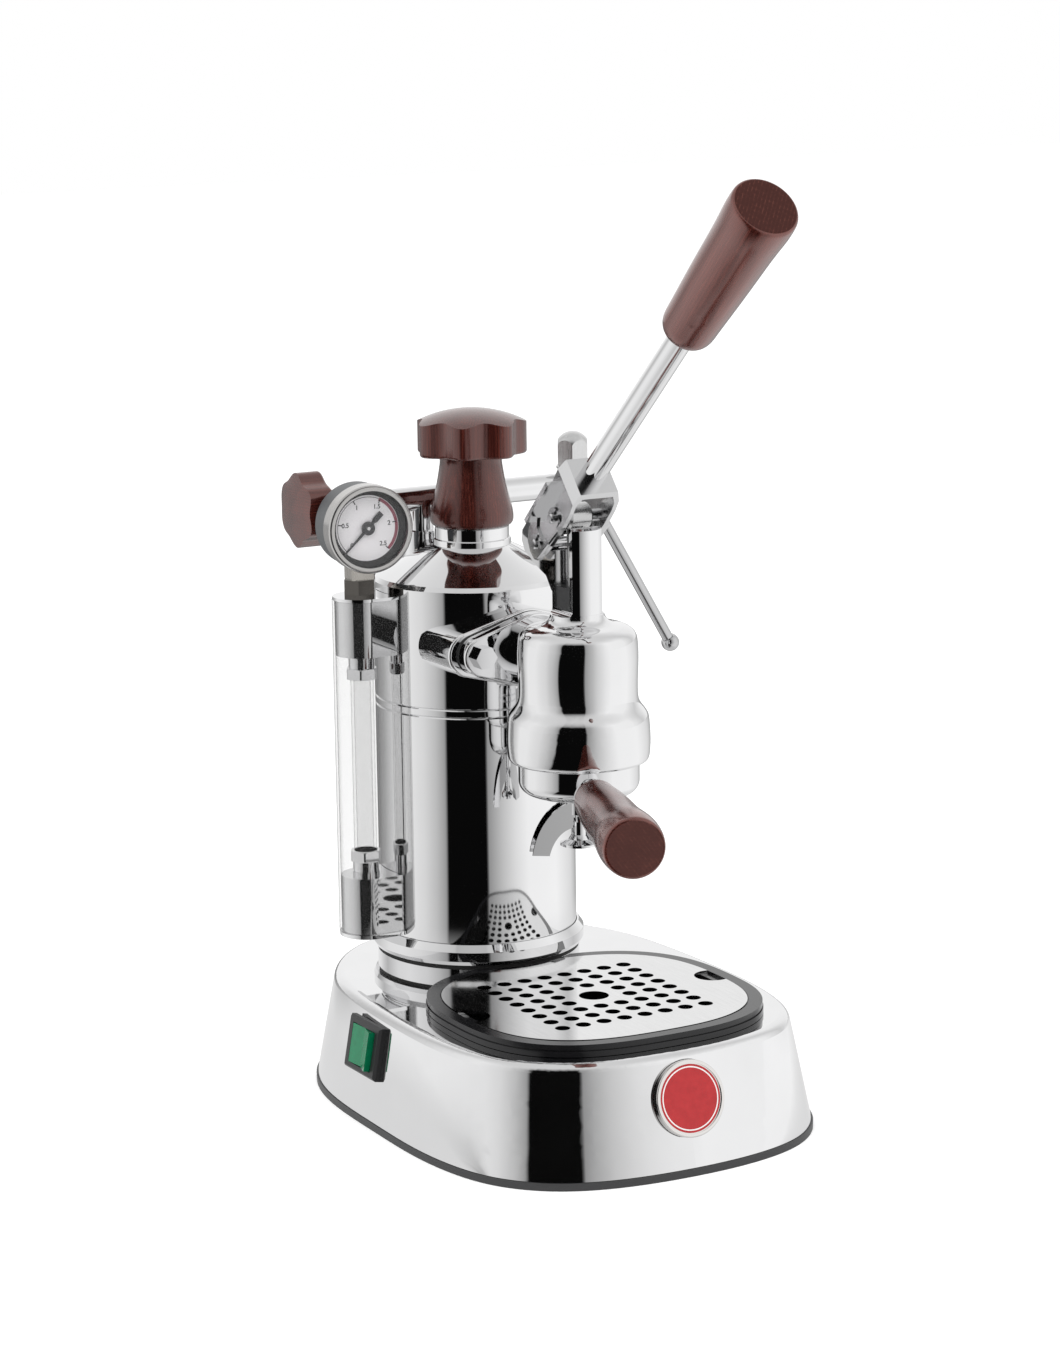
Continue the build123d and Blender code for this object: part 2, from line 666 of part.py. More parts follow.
def base_shell():
    outer = base_blank(0.0, 0.0, BASE_TOP_Z)
    top_edges = outer.faces().sort_by(Axis.Z)[-1].edges()
    outer = fillet(top_edges, BASE_EDGE_RADIUS)
    inner = base_blank(BASE_WALL, 0.0, BASE_TOP_Z - BASE_WALL)
    pad = block(-INLET_PAD_WIDTH / 2, INLET_PAD_WIDTH / 2, INLET_PAD_BACK_Y, INLET_FACE_Y,
                INLET_Z - INLET_PAD_HEIGHT / 2, INLET_Z + INLET_PAD_HEIGHT / 2)
    posts = [rod_z(SCREW_POST_RADIUS, BASE_RIM_Z, BASE_TOP_Z - BASE_WALL / 2, x, y) for x,
             y in SCREW_SPOTS]
    shell = outer - inner + pad + posts
    shell = shell - block(-CUT_REACH, CUT_REACH, -CUT_REACH, CUT_REACH, 0, BASE_RIM_Z)
    shell = shell + rod_z(COLLAR_RADIUS, BASE_TOP_Z - BASE_WALL, COLLAR_TOP_Z)
    shell = shell - rod_z(COLLAR_HOLE_RADIUS, SPIGOT_BOTTOM_Z, COLLAR_TOP_Z)
    shell = shell - tray_opening()
    shell = shell - [rod_z(SCREW_HOLE_RADIUS, BASE_RIM_Z, BASE_RIM_Z + SCREW_LENGTH, x, y) for x,
                     y in SCREW_SPOTS]
    body_hole = Box(SWITCH_BODY_WIDTH + 2 * SWITCH_FIT, SWITCH_BODY_HEIGHT + 2 * SWITCH_FIT,
                    SWITCH_BODY_DEPTH)
    shell = shell - switch_place() * body_hole
    shell = shell - switch_place() * Pos(0, 0, SWITCH_BEZEL_PROUD / 2) * Box(
        SWITCH_BEZEL_WIDTH + SWITCH_FIT, SWITCH_BEZEL_HEIGHT + SWITCH_FIT, SWITCH_BEZEL_PROUD)
    half_w = INLET_BODY_WIDTH / 2 + SWITCH_FIT
    half_h = INLET_BODY_HEIGHT / 2 + SWITCH_FIT
    shell = shell - block(-half_w, half_w, INLET_PAD_BACK_Y, INLET_FACE_Y, INLET_Z - half_h,
                          INLET_Z + half_h)
    shell = shell - badge_place() * Cylinder(BADGE_RADIUS + SWITCH_FIT, BADGE_THICKNESS * 2)
    return shell


def bottom_cover():
    points = mirrored(FOOT_HALF_OUTLINE)
    plate = extrude(smooth_face(points, 0.0), BASE_RIM_Z - COVER_JOINT_GAP, dir=(0, 0, 1))
    hollow = extrude(smooth_face(inset(points, COVER_RIM), COVER_FLOOR), BASE_RIM_Z, dir=(0, 0, 1))
    cover = plate - hollow
    bosses = [rod_z(SCREW_POST_RADIUS, 0, BASE_RIM_Z - COVER_JOINT_GAP, x, y) for x, y in SCREW_SPOTS]
    cover = cover + bosses
    sinks = []
    for x, y in SCREW_SPOTS:
        sinks.append(rod_z(SCREW_HEAD_RADIUS + COVER_JOINT_GAP, 0, SCREW_HEAD_HEIGHT + 2 * COVER_JOINT_GAP,
                           x, y))
        sinks.append(rod_z(SCREW_HOLE_RADIUS + COVER_JOINT_GAP, 0, BASE_RIM_Z, x, y))
    return cover - sinks


def base_screws():
    screws = []
    low = 2 * COVER_JOINT_GAP
    for x, y in SCREW_SPOTS:
        head = rod_z(SCREW_HEAD_RADIUS, low, low + SCREW_HEAD_HEIGHT, x, y)
        shank = rod_z(SCREW_SHANK_RADIUS, low, SCREW_LENGTH + low, x, y)
        slot = block(x - SCREW_HEAD_RADIUS, x + SCREW_HEAD_RADIUS, y - COVER_JOINT_GAP,
                     y + COVER_JOINT_GAP,
                     low, low + SCREW_HEAD_HEIGHT / 2)
        screws.append(head + shank - slot)
    return Compound(children=screws)


# Badge, switch and inlet

def badge_place():
    return Pos(0, BADGE_Y, BADGE_Z) * Rot(90 - BADGE_TILT, 0, 0)


def badge_disc():
    disc = Cylinder(BADGE_RADIUS, BADGE_THICKNESS)
    disc = fillet(disc.faces().sort_by(Axis.Z)[-1].edges(), BADGE_RIM_RAISE)
    recess = Pos(0, 0, BADGE_THICKNESS / 2) * Cylinder(BADGE_RADIUS - BADGE_RIM_WIDTH, BADGE_RIM_RAISE * 2)
    return badge_place() * (disc - recess)


def switch_bezel():
    bezel = Pos(0, 0, SWITCH_BEZEL_PROUD / 2) * Box(SWITCH_BEZEL_WIDTH, SWITCH_BEZEL_HEIGHT,
                                                    SWITCH_BEZEL_PROUD)
    bezel = chamfer(bezel.faces().sort_by(Axis.Z)[-1].edges(), SWITCH_BEZEL_CHAMFER)
    body = Pos(0, 0, -SWITCH_BODY_DEPTH / 2) * Box(SWITCH_BODY_WIDTH, SWITCH_BODY_HEIGHT,
                                                   SWITCH_BODY_DEPTH)
    well = Pos(0, 0, SWITCH_BEZEL_PROUD - SWITCH_WELL_DEPTH / 2) * Box(
        SWITCH_WELL_WIDTH, SWITCH_WELL_HEIGHT, SWITCH_WELL_DEPTH)
    axle = Rot(90, 0, 0) * Cylinder(ROCKER_AXLE_RADIUS, SWITCH_WELL_HEIGHT)
    return switch_place() * (bezel + body - well + axle)


def switch_rocker():
    half = ROCKER_WIDTH / 2
    outline = ((-half, ROCKER_HIGH), (0, ROCKER_MID), (half, ROCKER_LOW),
               (half - ROCKER_AXLE_RADIUS, -ROCKER_DEPTH / 2),
               (0, -ROCKER_DEPTH), (-half + ROCKER_AXLE_RADIUS, -ROCKER_DEPTH / 2))
    rocker = extrude(polygon_face(outline), ROCKER_HEIGHT / 2, both=True)
    rocker = Rot(90, 0, 0) * rocker
    bore = Rot(90, 0, 0) * Cylinder(ROCKER_AXLE_RADIUS + PIN_FIT, ROCKER_HEIGHT)
    return switch_place() * (rocker - bore)


def power_inlet():
    flange = block(-INLET_FLANGE_WIDTH / 2, INLET_FLANGE_WIDTH / 2, INLET_FACE_Y,
                   INLET_FACE_Y + INLET_FLANGE,
                   INLET_Z - INLET_FLANGE_HEIGHT / 2, INLET_Z + INLET_FLANGE_HEIGHT / 2)
    flange = fillet(flange.edges().filter_by(Axis.Y), INLET_FLANGE)
    body = block(-INLET_BODY_WIDTH / 2, INLET_BODY_WIDTH / 2, INLET_FACE_Y - INLET_BODY_DEPTH,
                 INLET_FACE_Y,
                 INLET_Z - INLET_BODY_HEIGHT / 2, INLET_Z + INLET_BODY_HEIGHT / 2)
    socket = block(-INLET_SOCKET_WIDTH / 2, INLET_SOCKET_WIDTH / 2,
                   INLET_FACE_Y + INLET_FLANGE - INLET_SOCKET_DEPTH, INLET_FACE_Y + INLET_FLANGE,
                   INLET_Z - INLET_SOCKET_HEIGHT / 2, INLET_Z + INLET_SOCKET_HEIGHT / 2)
    upper = socket.edges().filter_by(Axis.Y).sort_by(Axis.Z)[2:]
    socket = chamfer(upper, INLET_SOCKET_CHAMFER)
    holes = [pin_blank(index, PIN_FIT) for index in range(INLET_PIN_COUNT)]
    return flange + body - socket - holes


def pin_blank(index, grow):
    x = (index - 1) * INLET_PIN_SPACING
    z = INLET_Z + (INLET_EARTH_RISE / 2 if index == 1 else -INLET_EARTH_RISE / 2)
    floor = INLET_FACE_Y + INLET_FLANGE - INLET_SOCKET_DEPTH
    return block(x - INLET_PIN_THICKNESS / 2 - grow, x + INLET_PIN_THICKNESS / 2 + grow,
                 floor - INLET_PIN_ROOT, floor + INLET_PIN_LENGTH,
                 z - INLET_PIN_WIDTH / 2 - grow, z + INLET_PIN_WIDTH / 2 + grow)


def inlet_pins():
    return Compound(children=[pin_blank(index, 0.0) for index in range(INLET_PIN_COUNT)])


# Drip tray and grid

def rear_clip(radius):
    return rod_z(radius, 0, BASE_TOP_Z * 2)


def drip_tray():
    shrink = TRAY_GROOVE_DEPTH
    low = rounded_square(TRAY_HALF_X, TRAY_HALF_Y, TRAY_RIM_LOW_Z, TRAY_GROOVE_LOW_Z - TRAY_RIM_LOW_Z)
    mid = rounded_square(TRAY_HALF_X - shrink, TRAY_HALF_Y - shrink, TRAY_GROOVE_LOW_Z,
                         TRAY_GROOVE_HIGH_Z - TRAY_GROOVE_LOW_Z)
    top = rounded_square(TRAY_HALF_X - shrink / 2, TRAY_HALF_Y - shrink / 2, TRAY_GROOVE_HIGH_Z,
                         TRAY_RIM_TOP_Z - TRAY_GROOVE_HIGH_Z)
    well_x = TRAY_WELL_HALF_X + TRAY_WALL
    well_y = TRAY_WELL_HALF_Y + TRAY_WALL
    well = rounded_square(well_x, well_y, TRAY_BOTTOM_Z, TRAY_RIM_LOW_Z - TRAY_BOTTOM_Z)
    inside = rounded_square(TRAY_WELL_HALF_X, TRAY_WELL_HALF_Y, TRAY_BOTTOM_Z + TRAY_WALL, TRAY_RIM_TOP_Z)
    pocket = rounded_square(TRAY_POCKET_HALF_X, TRAY_POCKET_HALF_Y, TRAY_LEDGE_Z, TRAY_WALL)
    tray = low + mid + top + well - inside - pocket
    return tray - rear_clip(TRAY_REAR_CLIP_RADIUS)


def drip_grid():
    plate = rounded_square(GRID_HALF_X, GRID_HALF_Y, GRID_TOP_Z - GRID_THICKNESS, GRID_THICKNESS)
    plate = plate - rear_clip(GRID_REAR_CLIP_RADIUS)
    holes = []
    middle = (GRID_COUNT - 1) / 2
    for column in range(GRID_COUNT):
        for row in range(GRID_COUNT):
            centre_cell = abs(column - middle) < 1 and abs(row - middle) < 1
            if not centre_cell:
                x = (column - middle) * GRID_PITCH
                y = TRAY_CENTRE_Y + (row - middle) * GRID_PITCH
                holes.append(rod_z(GRID_HOLE_RADIUS, TRAY_LEDGE_Z, GRID_TOP_Z + GRID_THICKNESS, x, y))
    holes.append(rod_z(GRID_CENTRE_HOLE_RADIUS, TRAY_LEDGE_Z, GRID_TOP_Z + GRID_THICKNESS, 0,
                       TRAY_CENTRE_Y))
    for side in (-1, 1):
        holes.append(rod_z(GRID_NOTCH_RADIUS, TRAY_LEDGE_Z, GRID_TOP_Z + GRID_THICKNESS,
                           side * GRID_NOTCH_X, TRAY_CENTRE_Y))
    return plate - holes


# Boiler

def two_lobes(front, back, centre_radius, ear_x, ear_radius, z):
    ears = []
    for side in (-1, 1):
        hull = make_hull([
            Edge.make_circle(centre_radius),
            Edge.make_circle(ear_radius, plane=Plane((side * ear_x, 0, 0))),
        ])
        ears.append(extrude(hull, back - front))
    blank = ears[0] + ears[1]
    return Pos(0, back, z) * Rot(90, 0, 0) * blank


def boiler_shell():
    outer = [(SPIGOT_BORE_RADIUS, SPIGOT_BOTTOM_Z), (SPIGOT_RADIUS, SPIGOT_BOTTOM_Z),
             (SPIGOT_RADIUS, BOILER_SEAT_Z),
             (BOILER_RADIUS, BOILER_SEAT_Z)]
    for height in GROOVE_HEIGHTS:
        outer += [(BOILER_RADIUS, height - GROOVE_HALF_WIDTH), (BOILER_RADIUS - GROOVE_DEPTH, height),
                  (BOILER_RADIUS, height + GROOVE_HALF_WIDTH)]
    outer += [(BOILER_RADIUS, BOILER_SHOULDER_Z - BOILER_SHOULDER_BLEND),
              (BOILER_RADIUS - BOILER_SHOULDER_BLEND, BOILER_SHOULDER_Z + BOILER_SHOULDER_BLEND_RISE),
              (NECK_LIP_RADIUS, NECK_FOOT_Z), (NECK_LIP_RADIUS, NECK_LIP_TOP_Z),
              (NECK_RADIUS, NECK_LIP_TOP_Z + GROOVE_DEPTH),
              (NECK_RADIUS, NECK_TOP_Z)]
    inner = [(NECK_BORE_RADIUS, NECK_TOP_Z), (NECK_BORE_RADIUS, NECK_FOOT_Z - BOILER_WALL),
             (BOILER_RADIUS - 2 * BOILER_WALL, BOILER_SHOULDER_Z - BOILER_WALL),
             (BOILER_RADIUS - BOILER_WALL, BOILER_SHOULDER_Z
             - 2 * BOILER_WALL), (BOILER_RADIUS - BOILER_WALL, BOILER_FLOOR_Z),
             (SPIGOT_BORE_RADIUS, BOILER_FLOOR_Z)]
    shell = turned(outer + inner)
    pad = two_lobes(PAD_FRONT_Y, PAD_BACK_Y, PAD_CENTRE_RADIUS, PAD_EAR_X, PAD_EAR_RADIUS, PORT_Z)
    pad = fillet(pad.faces().sort_by(Axis.Y)[0].edges(), FLANGE_EDGE)
    boss = Pos(STEAM_RISER_X, STEAM_Y, 0) * turned([
        (0, STEAM_BOSS_LOW_Z), (STEAM_BOSS_RADIUS + BOILER_WALL, STEAM_BOSS_LOW_Z),
        (STEAM_BOSS_RADIUS, STEAM_RISER_FOOT_Z), (0, STEAM_RISER_FOOT_Z)])
    core = rod_z(BOILER_RADIUS - BOILER_WALL, BOILER_FLOOR_Z, BOILER_SHOULDER_Z - 2 * BOILER_WALL)
    cone = turned([(0, BOILER_SHOULDER_Z - BOILER_WALL),
                   (BOILER_RADIUS - 2 * BOILER_WALL, BOILER_SHOULDER_Z - BOILER_WALL),
                   (NECK_BORE_RADIUS, NECK_FOOT_Z - BOILER_WALL), (0, NECK_FOOT_Z - BOILER_WALL)])
    shell = shell + (pad - core) + (boss - core - cone)
    shell = shell - rod_y(PORT_RADIUS, PAD_FRONT_Y, PAD_BACK_Y, 0, PORT_Z)
    for side in (-1, 1):
        shell = shell - rod_y(BOLT_SHANK_RADIUS + BOLT_FIT, PAD_FRONT_Y, PAD_FRONT_Y + BOLT_DEPTH / 2,
                              side * FLANGE_EAR_X, PORT_Z)
    shell = shell - rod_z(STEAM_BORE_RADIUS, STEAM_BOSS_LOW_Z, STEAM_RISER_FOOT_Z, STEAM_RISER_X, STEAM_Y)
    for z in sight_heights():
        reach = BOILER_RADIUS + SIGHT_NIPPLE_DEEP
        hole = rod_x(SIGHT_NIPPLE_RADIUS + SIGHT_NIPPLE_FIT, -reach,
                     -BOILER_RADIUS + SIGHT_NIPPLE_DEEP * 2, 0, z)
        shell = shell - hole
    return shell


def boiler_ring():
    return turned([
        (RING_BORE_RADIUS, BOILER_SEAT_Z), (RING_FOOT_RADIUS, BOILER_SEAT_Z), (RING_RADIUS, RING_LOW_Z),
        (RING_RADIUS, RING_BEVEL_Z), (RING_LIP_RADIUS, RING_TOP_Z), (RING_BORE_RADIUS, RING_TOP_Z)])


def base_gasket():
    return rod_z(GASKET_RADIUS, COLLAR_TOP_Z, BOILER_SEAT_Z) - rod_z(COLLAR_HOLE_RADIUS, COLLAR_TOP_Z,
                                                                     BOILER_SEAT_Z)


def heating_element():
    flange = rod_z(ELEMENT_FLANGE_RADIUS, ELEMENT_FLANGE_LOW_Z, ELEMENT_FLANGE_TOP_Z)
    flange = flange - rod_z(SPIGOT_RADIUS + ROD_BORE_FIT, ELEMENT_FLANGE_FLOOR_Z, ELEMENT_FLANGE_TOP_Z)
    loops = []
    for side in (-1, 1):
        y = side * ELEMENT_LOOP_Y
        top = ELEMENT_LOOP_TOP_Z - ELEMENT_LOOP_HALF
        path = Wire([
            Edge.make_line((-ELEMENT_LOOP_HALF, y, ELEMENT_FLANGE_LOW_Z), (-ELEMENT_LOOP_HALF, y, top)),
            ThreePointArc((-ELEMENT_LOOP_HALF, y, top), (0, y, ELEMENT_LOOP_TOP_Z),
                          (ELEMENT_LOOP_HALF, y, top)),
            Edge.make_line((ELEMENT_LOOP_HALF, y, top), (ELEMENT_LOOP_HALF, y, ELEMENT_FLANGE_LOW_Z)),
        ])
        start = Plane((-ELEMENT_LOOP_HALF, y, ELEMENT_FLANGE_LOW_Z))
        loops.append(sweep(start * Circle(ELEMENT_TUBE_RADIUS), path=path))
        for end in (-1, 1):
            x = end * ELEMENT_LOOP_HALF
            loops.append(rod_z(ELEMENT_TERMINAL_RADIUS, ELEMENT_FLANGE_LOW_Z - ELEMENT_TERMINAL_LENGTH,
                               ELEMENT_FLANGE_LOW_Z, x, y))
    return flange + loops


def thermostat():
    top = ELEMENT_FLANGE_LOW_Z
    can = rod_z(THERMOSTAT_RADIUS, top - THERMOSTAT_HEIGHT, top)
    half = THERMOSTAT_TAB_THICKNESS / 2
    tabs = []
    for side in (-1, 1):
        x = side * THERMOSTAT_TAB_SPACING
        tabs.append(block(x - half, x + half, -THERMOSTAT_TAB, THERMOSTAT_TAB, top - THERMOSTAT_HEIGHT * 2,
                          top - THERMOSTAT_HEIGHT))
    return can + tabs


# Boiler cap

def lobed_prism(radius, dip, count, height, edge):
    face = smooth_face(lobed_points(radius, dip, count), 0.0)
    prism = extrude(face, height, dir=(0, 0, 1))
    rims = prism.faces().sort_by(Axis.Z)[0].edges() + prism.faces().sort_by(Axis.Z)[-1].edges()
    return fillet(rims, edge)


def dome(radius, rise, height):
    ball = (radius * radius + rise * rise) / (2 * rise)
    return Pos(0, 0, height - ball) * Sphere(ball)


def boiler_cap():
    body = turned_curve(CAP_BOTTOM_Z, CAP_PROFILE, CAP_PROFILE[-1][1])
    height = CAP_LOBE_TOP_Z - CAP_LOBE_LOW_Z + CAP_DOME_RISE
    head = lobed_prism(CAP_LOBE_RADIUS, CAP_LOBE_DIP, CAP_LOBE_COUNT, height, CAP_LOBE_EDGE)
    head = head & dome(CAP_LOBE_RADIUS, CAP_DOME_RISE, height)
    cap = body + Pos(0, 0, CAP_LOBE_LOW_Z) * Rot(0, 0, CAP_LOBE_TURN) * head
    cap = cap - rod_z(CAP_STUD_RADIUS + CAP_STUD_FIT, CAP_BOTTOM_Z, CAP_STUD_TOP_Z + CAP_STUD_FIT)
    return cap


def cap_plug():
    plug = rod_z(CAP_PLUG_RADIUS, CAP_PLUG_LOW_Z, CAP_PLUG_FLANGE_Z)
    flange = rod_z(CAP_PLUG_FLANGE_RADIUS, CAP_PLUG_FLANGE_Z, CAP_BOTTOM_Z)
    stud = rod_z(CAP_STUD_RADIUS, CAP_BOTTOM_Z, CAP_STUD_TOP_Z)
    return plug + flange + stud


# Steam valve

def steam_valve_body():
    tube = rod_x(STEAM_TUBE_RADIUS, STEAM_TUBE_LEFT_X, STEAM_TUBE_RIGHT_X, STEAM_Y, STEAM_Z)
    collar = rod_x(STEAM_COLLAR_RADIUS, STEAM_TUBE_LEFT_X, STEAM_TUBE_LEFT_X + STEAM_COLLAR_LENGTH,
                   STEAM_Y, STEAM_Z)
    collar = chamfer(collar.edges().filter_by(GeomType.CIRCLE), BASE_WALL / 2)
    riser = rod_z(STEAM_RISER_RADIUS, STEAM_RISER_FOOT_Z, STEAM_Z, STEAM_RISER_X, STEAM_Y)
    body = tube + collar + riser
    body = body - rod_z(STEAM_BORE_RADIUS, STEAM_RISER_FOOT_Z, STEAM_Z, STEAM_RISER_X, STEAM_Y)
    body = body - rod_x(SPINDLE_RADIUS + ROD_BORE_FIT, STEAM_TUBE_LEFT_X, STEAM_TUBE_RIGHT_X, STEAM_Y,
                        STEAM_Z)
    return body - rod_z(JOINT_RADIUS, JOINT_LOW_Z, JOINT_TOP_Z, JOINT_X, STEAM_Y)


def steam_spindle():
    spindle = rod_x(SPINDLE_RADIUS, SPINDLE_KNOB_X, SPINDLE_INNER_X, STEAM_Y, STEAM_Z)
    point = Pos(SPINDLE_INNER_X + SPINDLE_POINT / 2, STEAM_Y, STEAM_Z) * Rot(0, 90, 0) * Cone(
        SPINDLE_RADIUS, SPINDLE_POINT_RADIUS, SPINDLE_POINT)
    return spindle + point


def steam_knob():
    width = KNOB_BACK_X - KNOB_FACE_X
    head = lobed_prism(KNOB_RADIUS, KNOB_DIP, KNOB_LOBE_COUNT, width, KNOB_EDGE) & dome(KNOB_RADIUS,
                                                                                        KNOB_DOME, width)
    neck_length = KNOB_NECK_X - KNOB_BACK_X
    neck = Pos(0, 0, -neck_length / 2) * Cone(KNOB_NECK_SLIM, KNOB_NECK_WIDE, neck_length)
    knob = Pos(KNOB_BACK_X, STEAM_Y, STEAM_Z) * Rot(0, -90, 0) * (head + neck)
    return knob - rod_x(KNOB_BORE_RADIUS, SPINDLE_KNOB_X - KNOB_BORE_RADIUS / 2, KNOB_NECK_X, STEAM_Y,
                        STEAM_Z)


def steam_joint():
    joint = rod_z(JOINT_RADIUS, JOINT_LOW_Z, JOINT_TOP_Z, JOINT_X, STEAM_Y)
    joint = joint - rod_z(JOINT_BORE_RADIUS, JOINT_LOW_Z, JOINT_TOP_Z, JOINT_X, STEAM_Y)
    return joint - rod_x(SPINDLE_RADIUS, STEAM_TUBE_RIGHT_X - JOINT_RADIUS, JOINT_X, STEAM_Y, STEAM_Z)


def joint_nut():
    washer = rod_z(NUT_FLANGE_RADIUS, NUT_FLANGE_LOW_Z, NUT_HEX_LOW_Z, JOINT_X, STEAM_Y)
    washer = chamfer(washer.edges().filter_by(GeomType.CIRCLE), BASE_WALL / 2)
    hexa = hexagon(NUT_HEX_FLATS, NUT_HEX_LOW_Z, NUT_TOP_Z, JOINT_X, STEAM_Y)
    corner = NUT_HEX_FLATS / math.sqrt(3)
    round_top = Pos(JOINT_X, STEAM_Y, 0) * dome(corner, NUT_DOME_RISE, NUT_TOP_Z)
    straight = hexagon(NUT_HEX_FLATS, NUT_HEX_LOW_Z, NUT_TOP_Z - NUT_DOME_RISE, JOINT_X, STEAM_Y)
    return washer + (hexa & round_top) + straight


def steam_wand():
    stem = rod_z(WAND_STEM_RADIUS, WAND_HUB_TOP_Z, WAND_STEM_TOP_Z, JOINT_X, STEAM_Y)
    hub = rod_z(WAND_HUB_RADIUS, WAND_HUB_LOW_Z, WAND_HUB_TOP_Z, JOINT_X, STEAM_Y)
    hub = fillet(hub.edges().filter_by(GeomType.CIRCLE), BASE_WALL / 2)
    start = (JOINT_X, STEAM_Y, (WAND_HUB_LOW_Z + WAND_HUB_TOP_Z) / 2)
    path = FilletPolyline(start, (WAND_BEND_X, STEAM_Y, WAND_BEND_Z), (WAND_TIP_X, STEAM_Y, WAND_TIP_Z),
                          radius=WAND_BEND_RADIUS)
    profile = Plane(start, x_dir=(0, 1, 0), z_dir=path % 0) * Circle(WAND_RADIUS)
    tube = sweep(profile, path=path)
    return stem + hub + tube


def wand_tip():
    run_x = WAND_TIP_X - WAND_BEND_X
    run_z = WAND_TIP_Z - WAND_BEND_Z
    length = math.hypot(run_x, run_z)
    share = WAND_BALL_OVERLAP / length
    centre = (WAND_TIP_X + run_x * share, STEAM_Y, WAND_TIP_Z + run_z * share)
    ball = Pos(*centre) * Sphere(WAND_BALL_RADIUS)
    place = Plane((WAND_TIP_X, STEAM_Y, WAND_TIP_Z), x_dir=(0, 1, 0), z_dir=(-run_x, 0, -run_z))
    cut = place * Pos(0, 0, WAND_BALL_RADIUS) * Cylinder(WAND_BALL_RADIUS, WAND_BALL_RADIUS * 2)
    return ball - cut


# Sight glass

def sight_heights():
    return ((SIGHT_LOWER_LOW_Z + SIGHT_LOWER_TOP_Z) / 2, (SIGHT_UPPER_LOW_Z + SIGHT_UPPER_TOP_Z) / 2)


def horseshoe(radius, low, high):
    """A round bar about the glass axis, filled out square toward the boiler."""
    bar = rod_z(radius, low, high, SIGHT_X, 0)
    bar = bar + block(SIGHT_X, 0, -radius, radius, low, high)
    return bar - rod_z(BOILER_RADIUS + SIGHT_COVER_BOILER_GAP, low, high)


def sight_block(low, high):
    blank = horseshoe(SIGHT_BLOCK_RADIUS, low, high)
    middle = (low + high) / 2
    nipple = rod_x(SIGHT_NIPPLE_RADIUS, -BOILER_RADIUS - SIGHT_NIPPLE_DEEP, -BOILER_RADIUS + BOILER_WALL,
                   0, middle)
    blank = blank + nipple
    return blank - rod_x(STEAM_BORE_RADIUS, SIGHT_X, 0, 0, middle)


def sight_block_upper():
    low = SIGHT_UPPER_LOW_Z
    blank = sight_block(low, SIGHT_UPPER_TOP_Z)
    top = horseshoe(SIGHT_CAP_RADIUS, SIGHT_COVER_TOP_Z + SIGHT_CAP_GAP, SIGHT_UPPER_TOP_Z)
    flange = rod_z(SIGHT_FLANGE_RADIUS, low - SIGHT_FLANGE_THICKNESS, low, SIGHT_X, 0)
    neck = rod_z(SIGHT_NECK_RADIUS, low - SIGHT_FLANGE_THICKNESS - SIGHT_NECK_LENGTH, low, SIGHT_X, 0)
    blank = blank + top + flange + neck
    bottom = low - SIGHT_FLANGE_THICKNESS - SIGHT_NECK_LENGTH
    middle = (low + SIGHT_UPPER_TOP_Z) / 2
    blank = blank - rod_z(SIGHT_TUBE_RADIUS + SIGHT_TUBE_FIT, bottom, middle, SIGHT_X, 0)
    return blank - rod_z(SIGHT_SEAL_RADIUS, SIGHT_TUBE_TOP_Z - SIGHT_SEAL_LENGTH, SIGHT_TUBE_TOP_Z,
                         SIGHT_X, 0)


def sight_block_lower():
    high = SIGHT_LOWER_TOP_Z
    blank = sight_block(SIGHT_LOWER_LOW_Z, high)
    foot = horseshoe(SIGHT_CAP_RADIUS, SIGHT_LOWER_LOW_Z, SIGHT_COVER_LOW_Z - SIGHT_CAP_GAP)
    top = high + SIGHT_FLANGE_THICKNESS + SIGHT_NECK_LENGTH
    flange = rod_z(SIGHT_FLANGE_RADIUS, high, high + SIGHT_FLANGE_THICKNESS, SIGHT_X, 0)
    neck = rod_z(SIGHT_NECK_RADIUS, high, top, SIGHT_X, 0)
    blank = blank + foot + flange + neck
    middle = (SIGHT_LOWER_LOW_Z + high) / 2
    blank = blank - rod_z(SIGHT_TUBE_RADIUS + SIGHT_TUBE_FIT, middle, top, SIGHT_X, 0)
    return blank - rod_z(SIGHT_SEAL_RADIUS, SIGHT_TUBE_LOW_Z, SIGHT_TUBE_LOW_Z + SIGHT_SEAL_LENGTH,
                         SIGHT_X, 0)


def gland_spans():
    lower = SIGHT_LOWER_TOP_Z + SIGHT_FLANGE_THICKNESS + SIGHT_NECK_LENGTH
    upper = SIGHT_UPPER_LOW_Z - SIGHT_FLANGE_THICKNESS - SIGHT_NECK_LENGTH
    return ((lower, lower + SIGHT_NUT_LENGTH), (upper - SIGHT_NUT_LENGTH, upper))


def gland_nuts():
    nuts = []
    for low, high in gland_spans():
        nut = hexagon(SIGHT_NUT_FLATS, low, high, SIGHT_X, 0)
        turned_blank = Cylinder(SIGHT_NUT_FLATS / 2 * SIGHT_NUT_ROUND_SHARE, high - low)
        turned_blank = fillet(turned_blank.edges().filter_by(GeomType.CIRCLE), SIGHT_NUT_EDGE)
        nut = nut & (Pos(SIGHT_X, 0, (low + high) / 2) * turned_blank)
        nuts.append(nut - rod_z(SIGHT_TUBE_RADIUS + SIGHT_TUBE_FIT, low, high, SIGHT_X, 0))
    return Compound(children=nuts)


def sight_glass():
    tube = rod_z(SIGHT_TUBE_RADIUS, SIGHT_TUBE_LOW_Z, SIGHT_TUBE_TOP_Z, SIGHT_X, 0)
    return tube - rod_z(SIGHT_TUBE_BORE, SIGHT_TUBE_LOW_Z, SIGHT_TUBE_TOP_Z, SIGHT_X, 0)


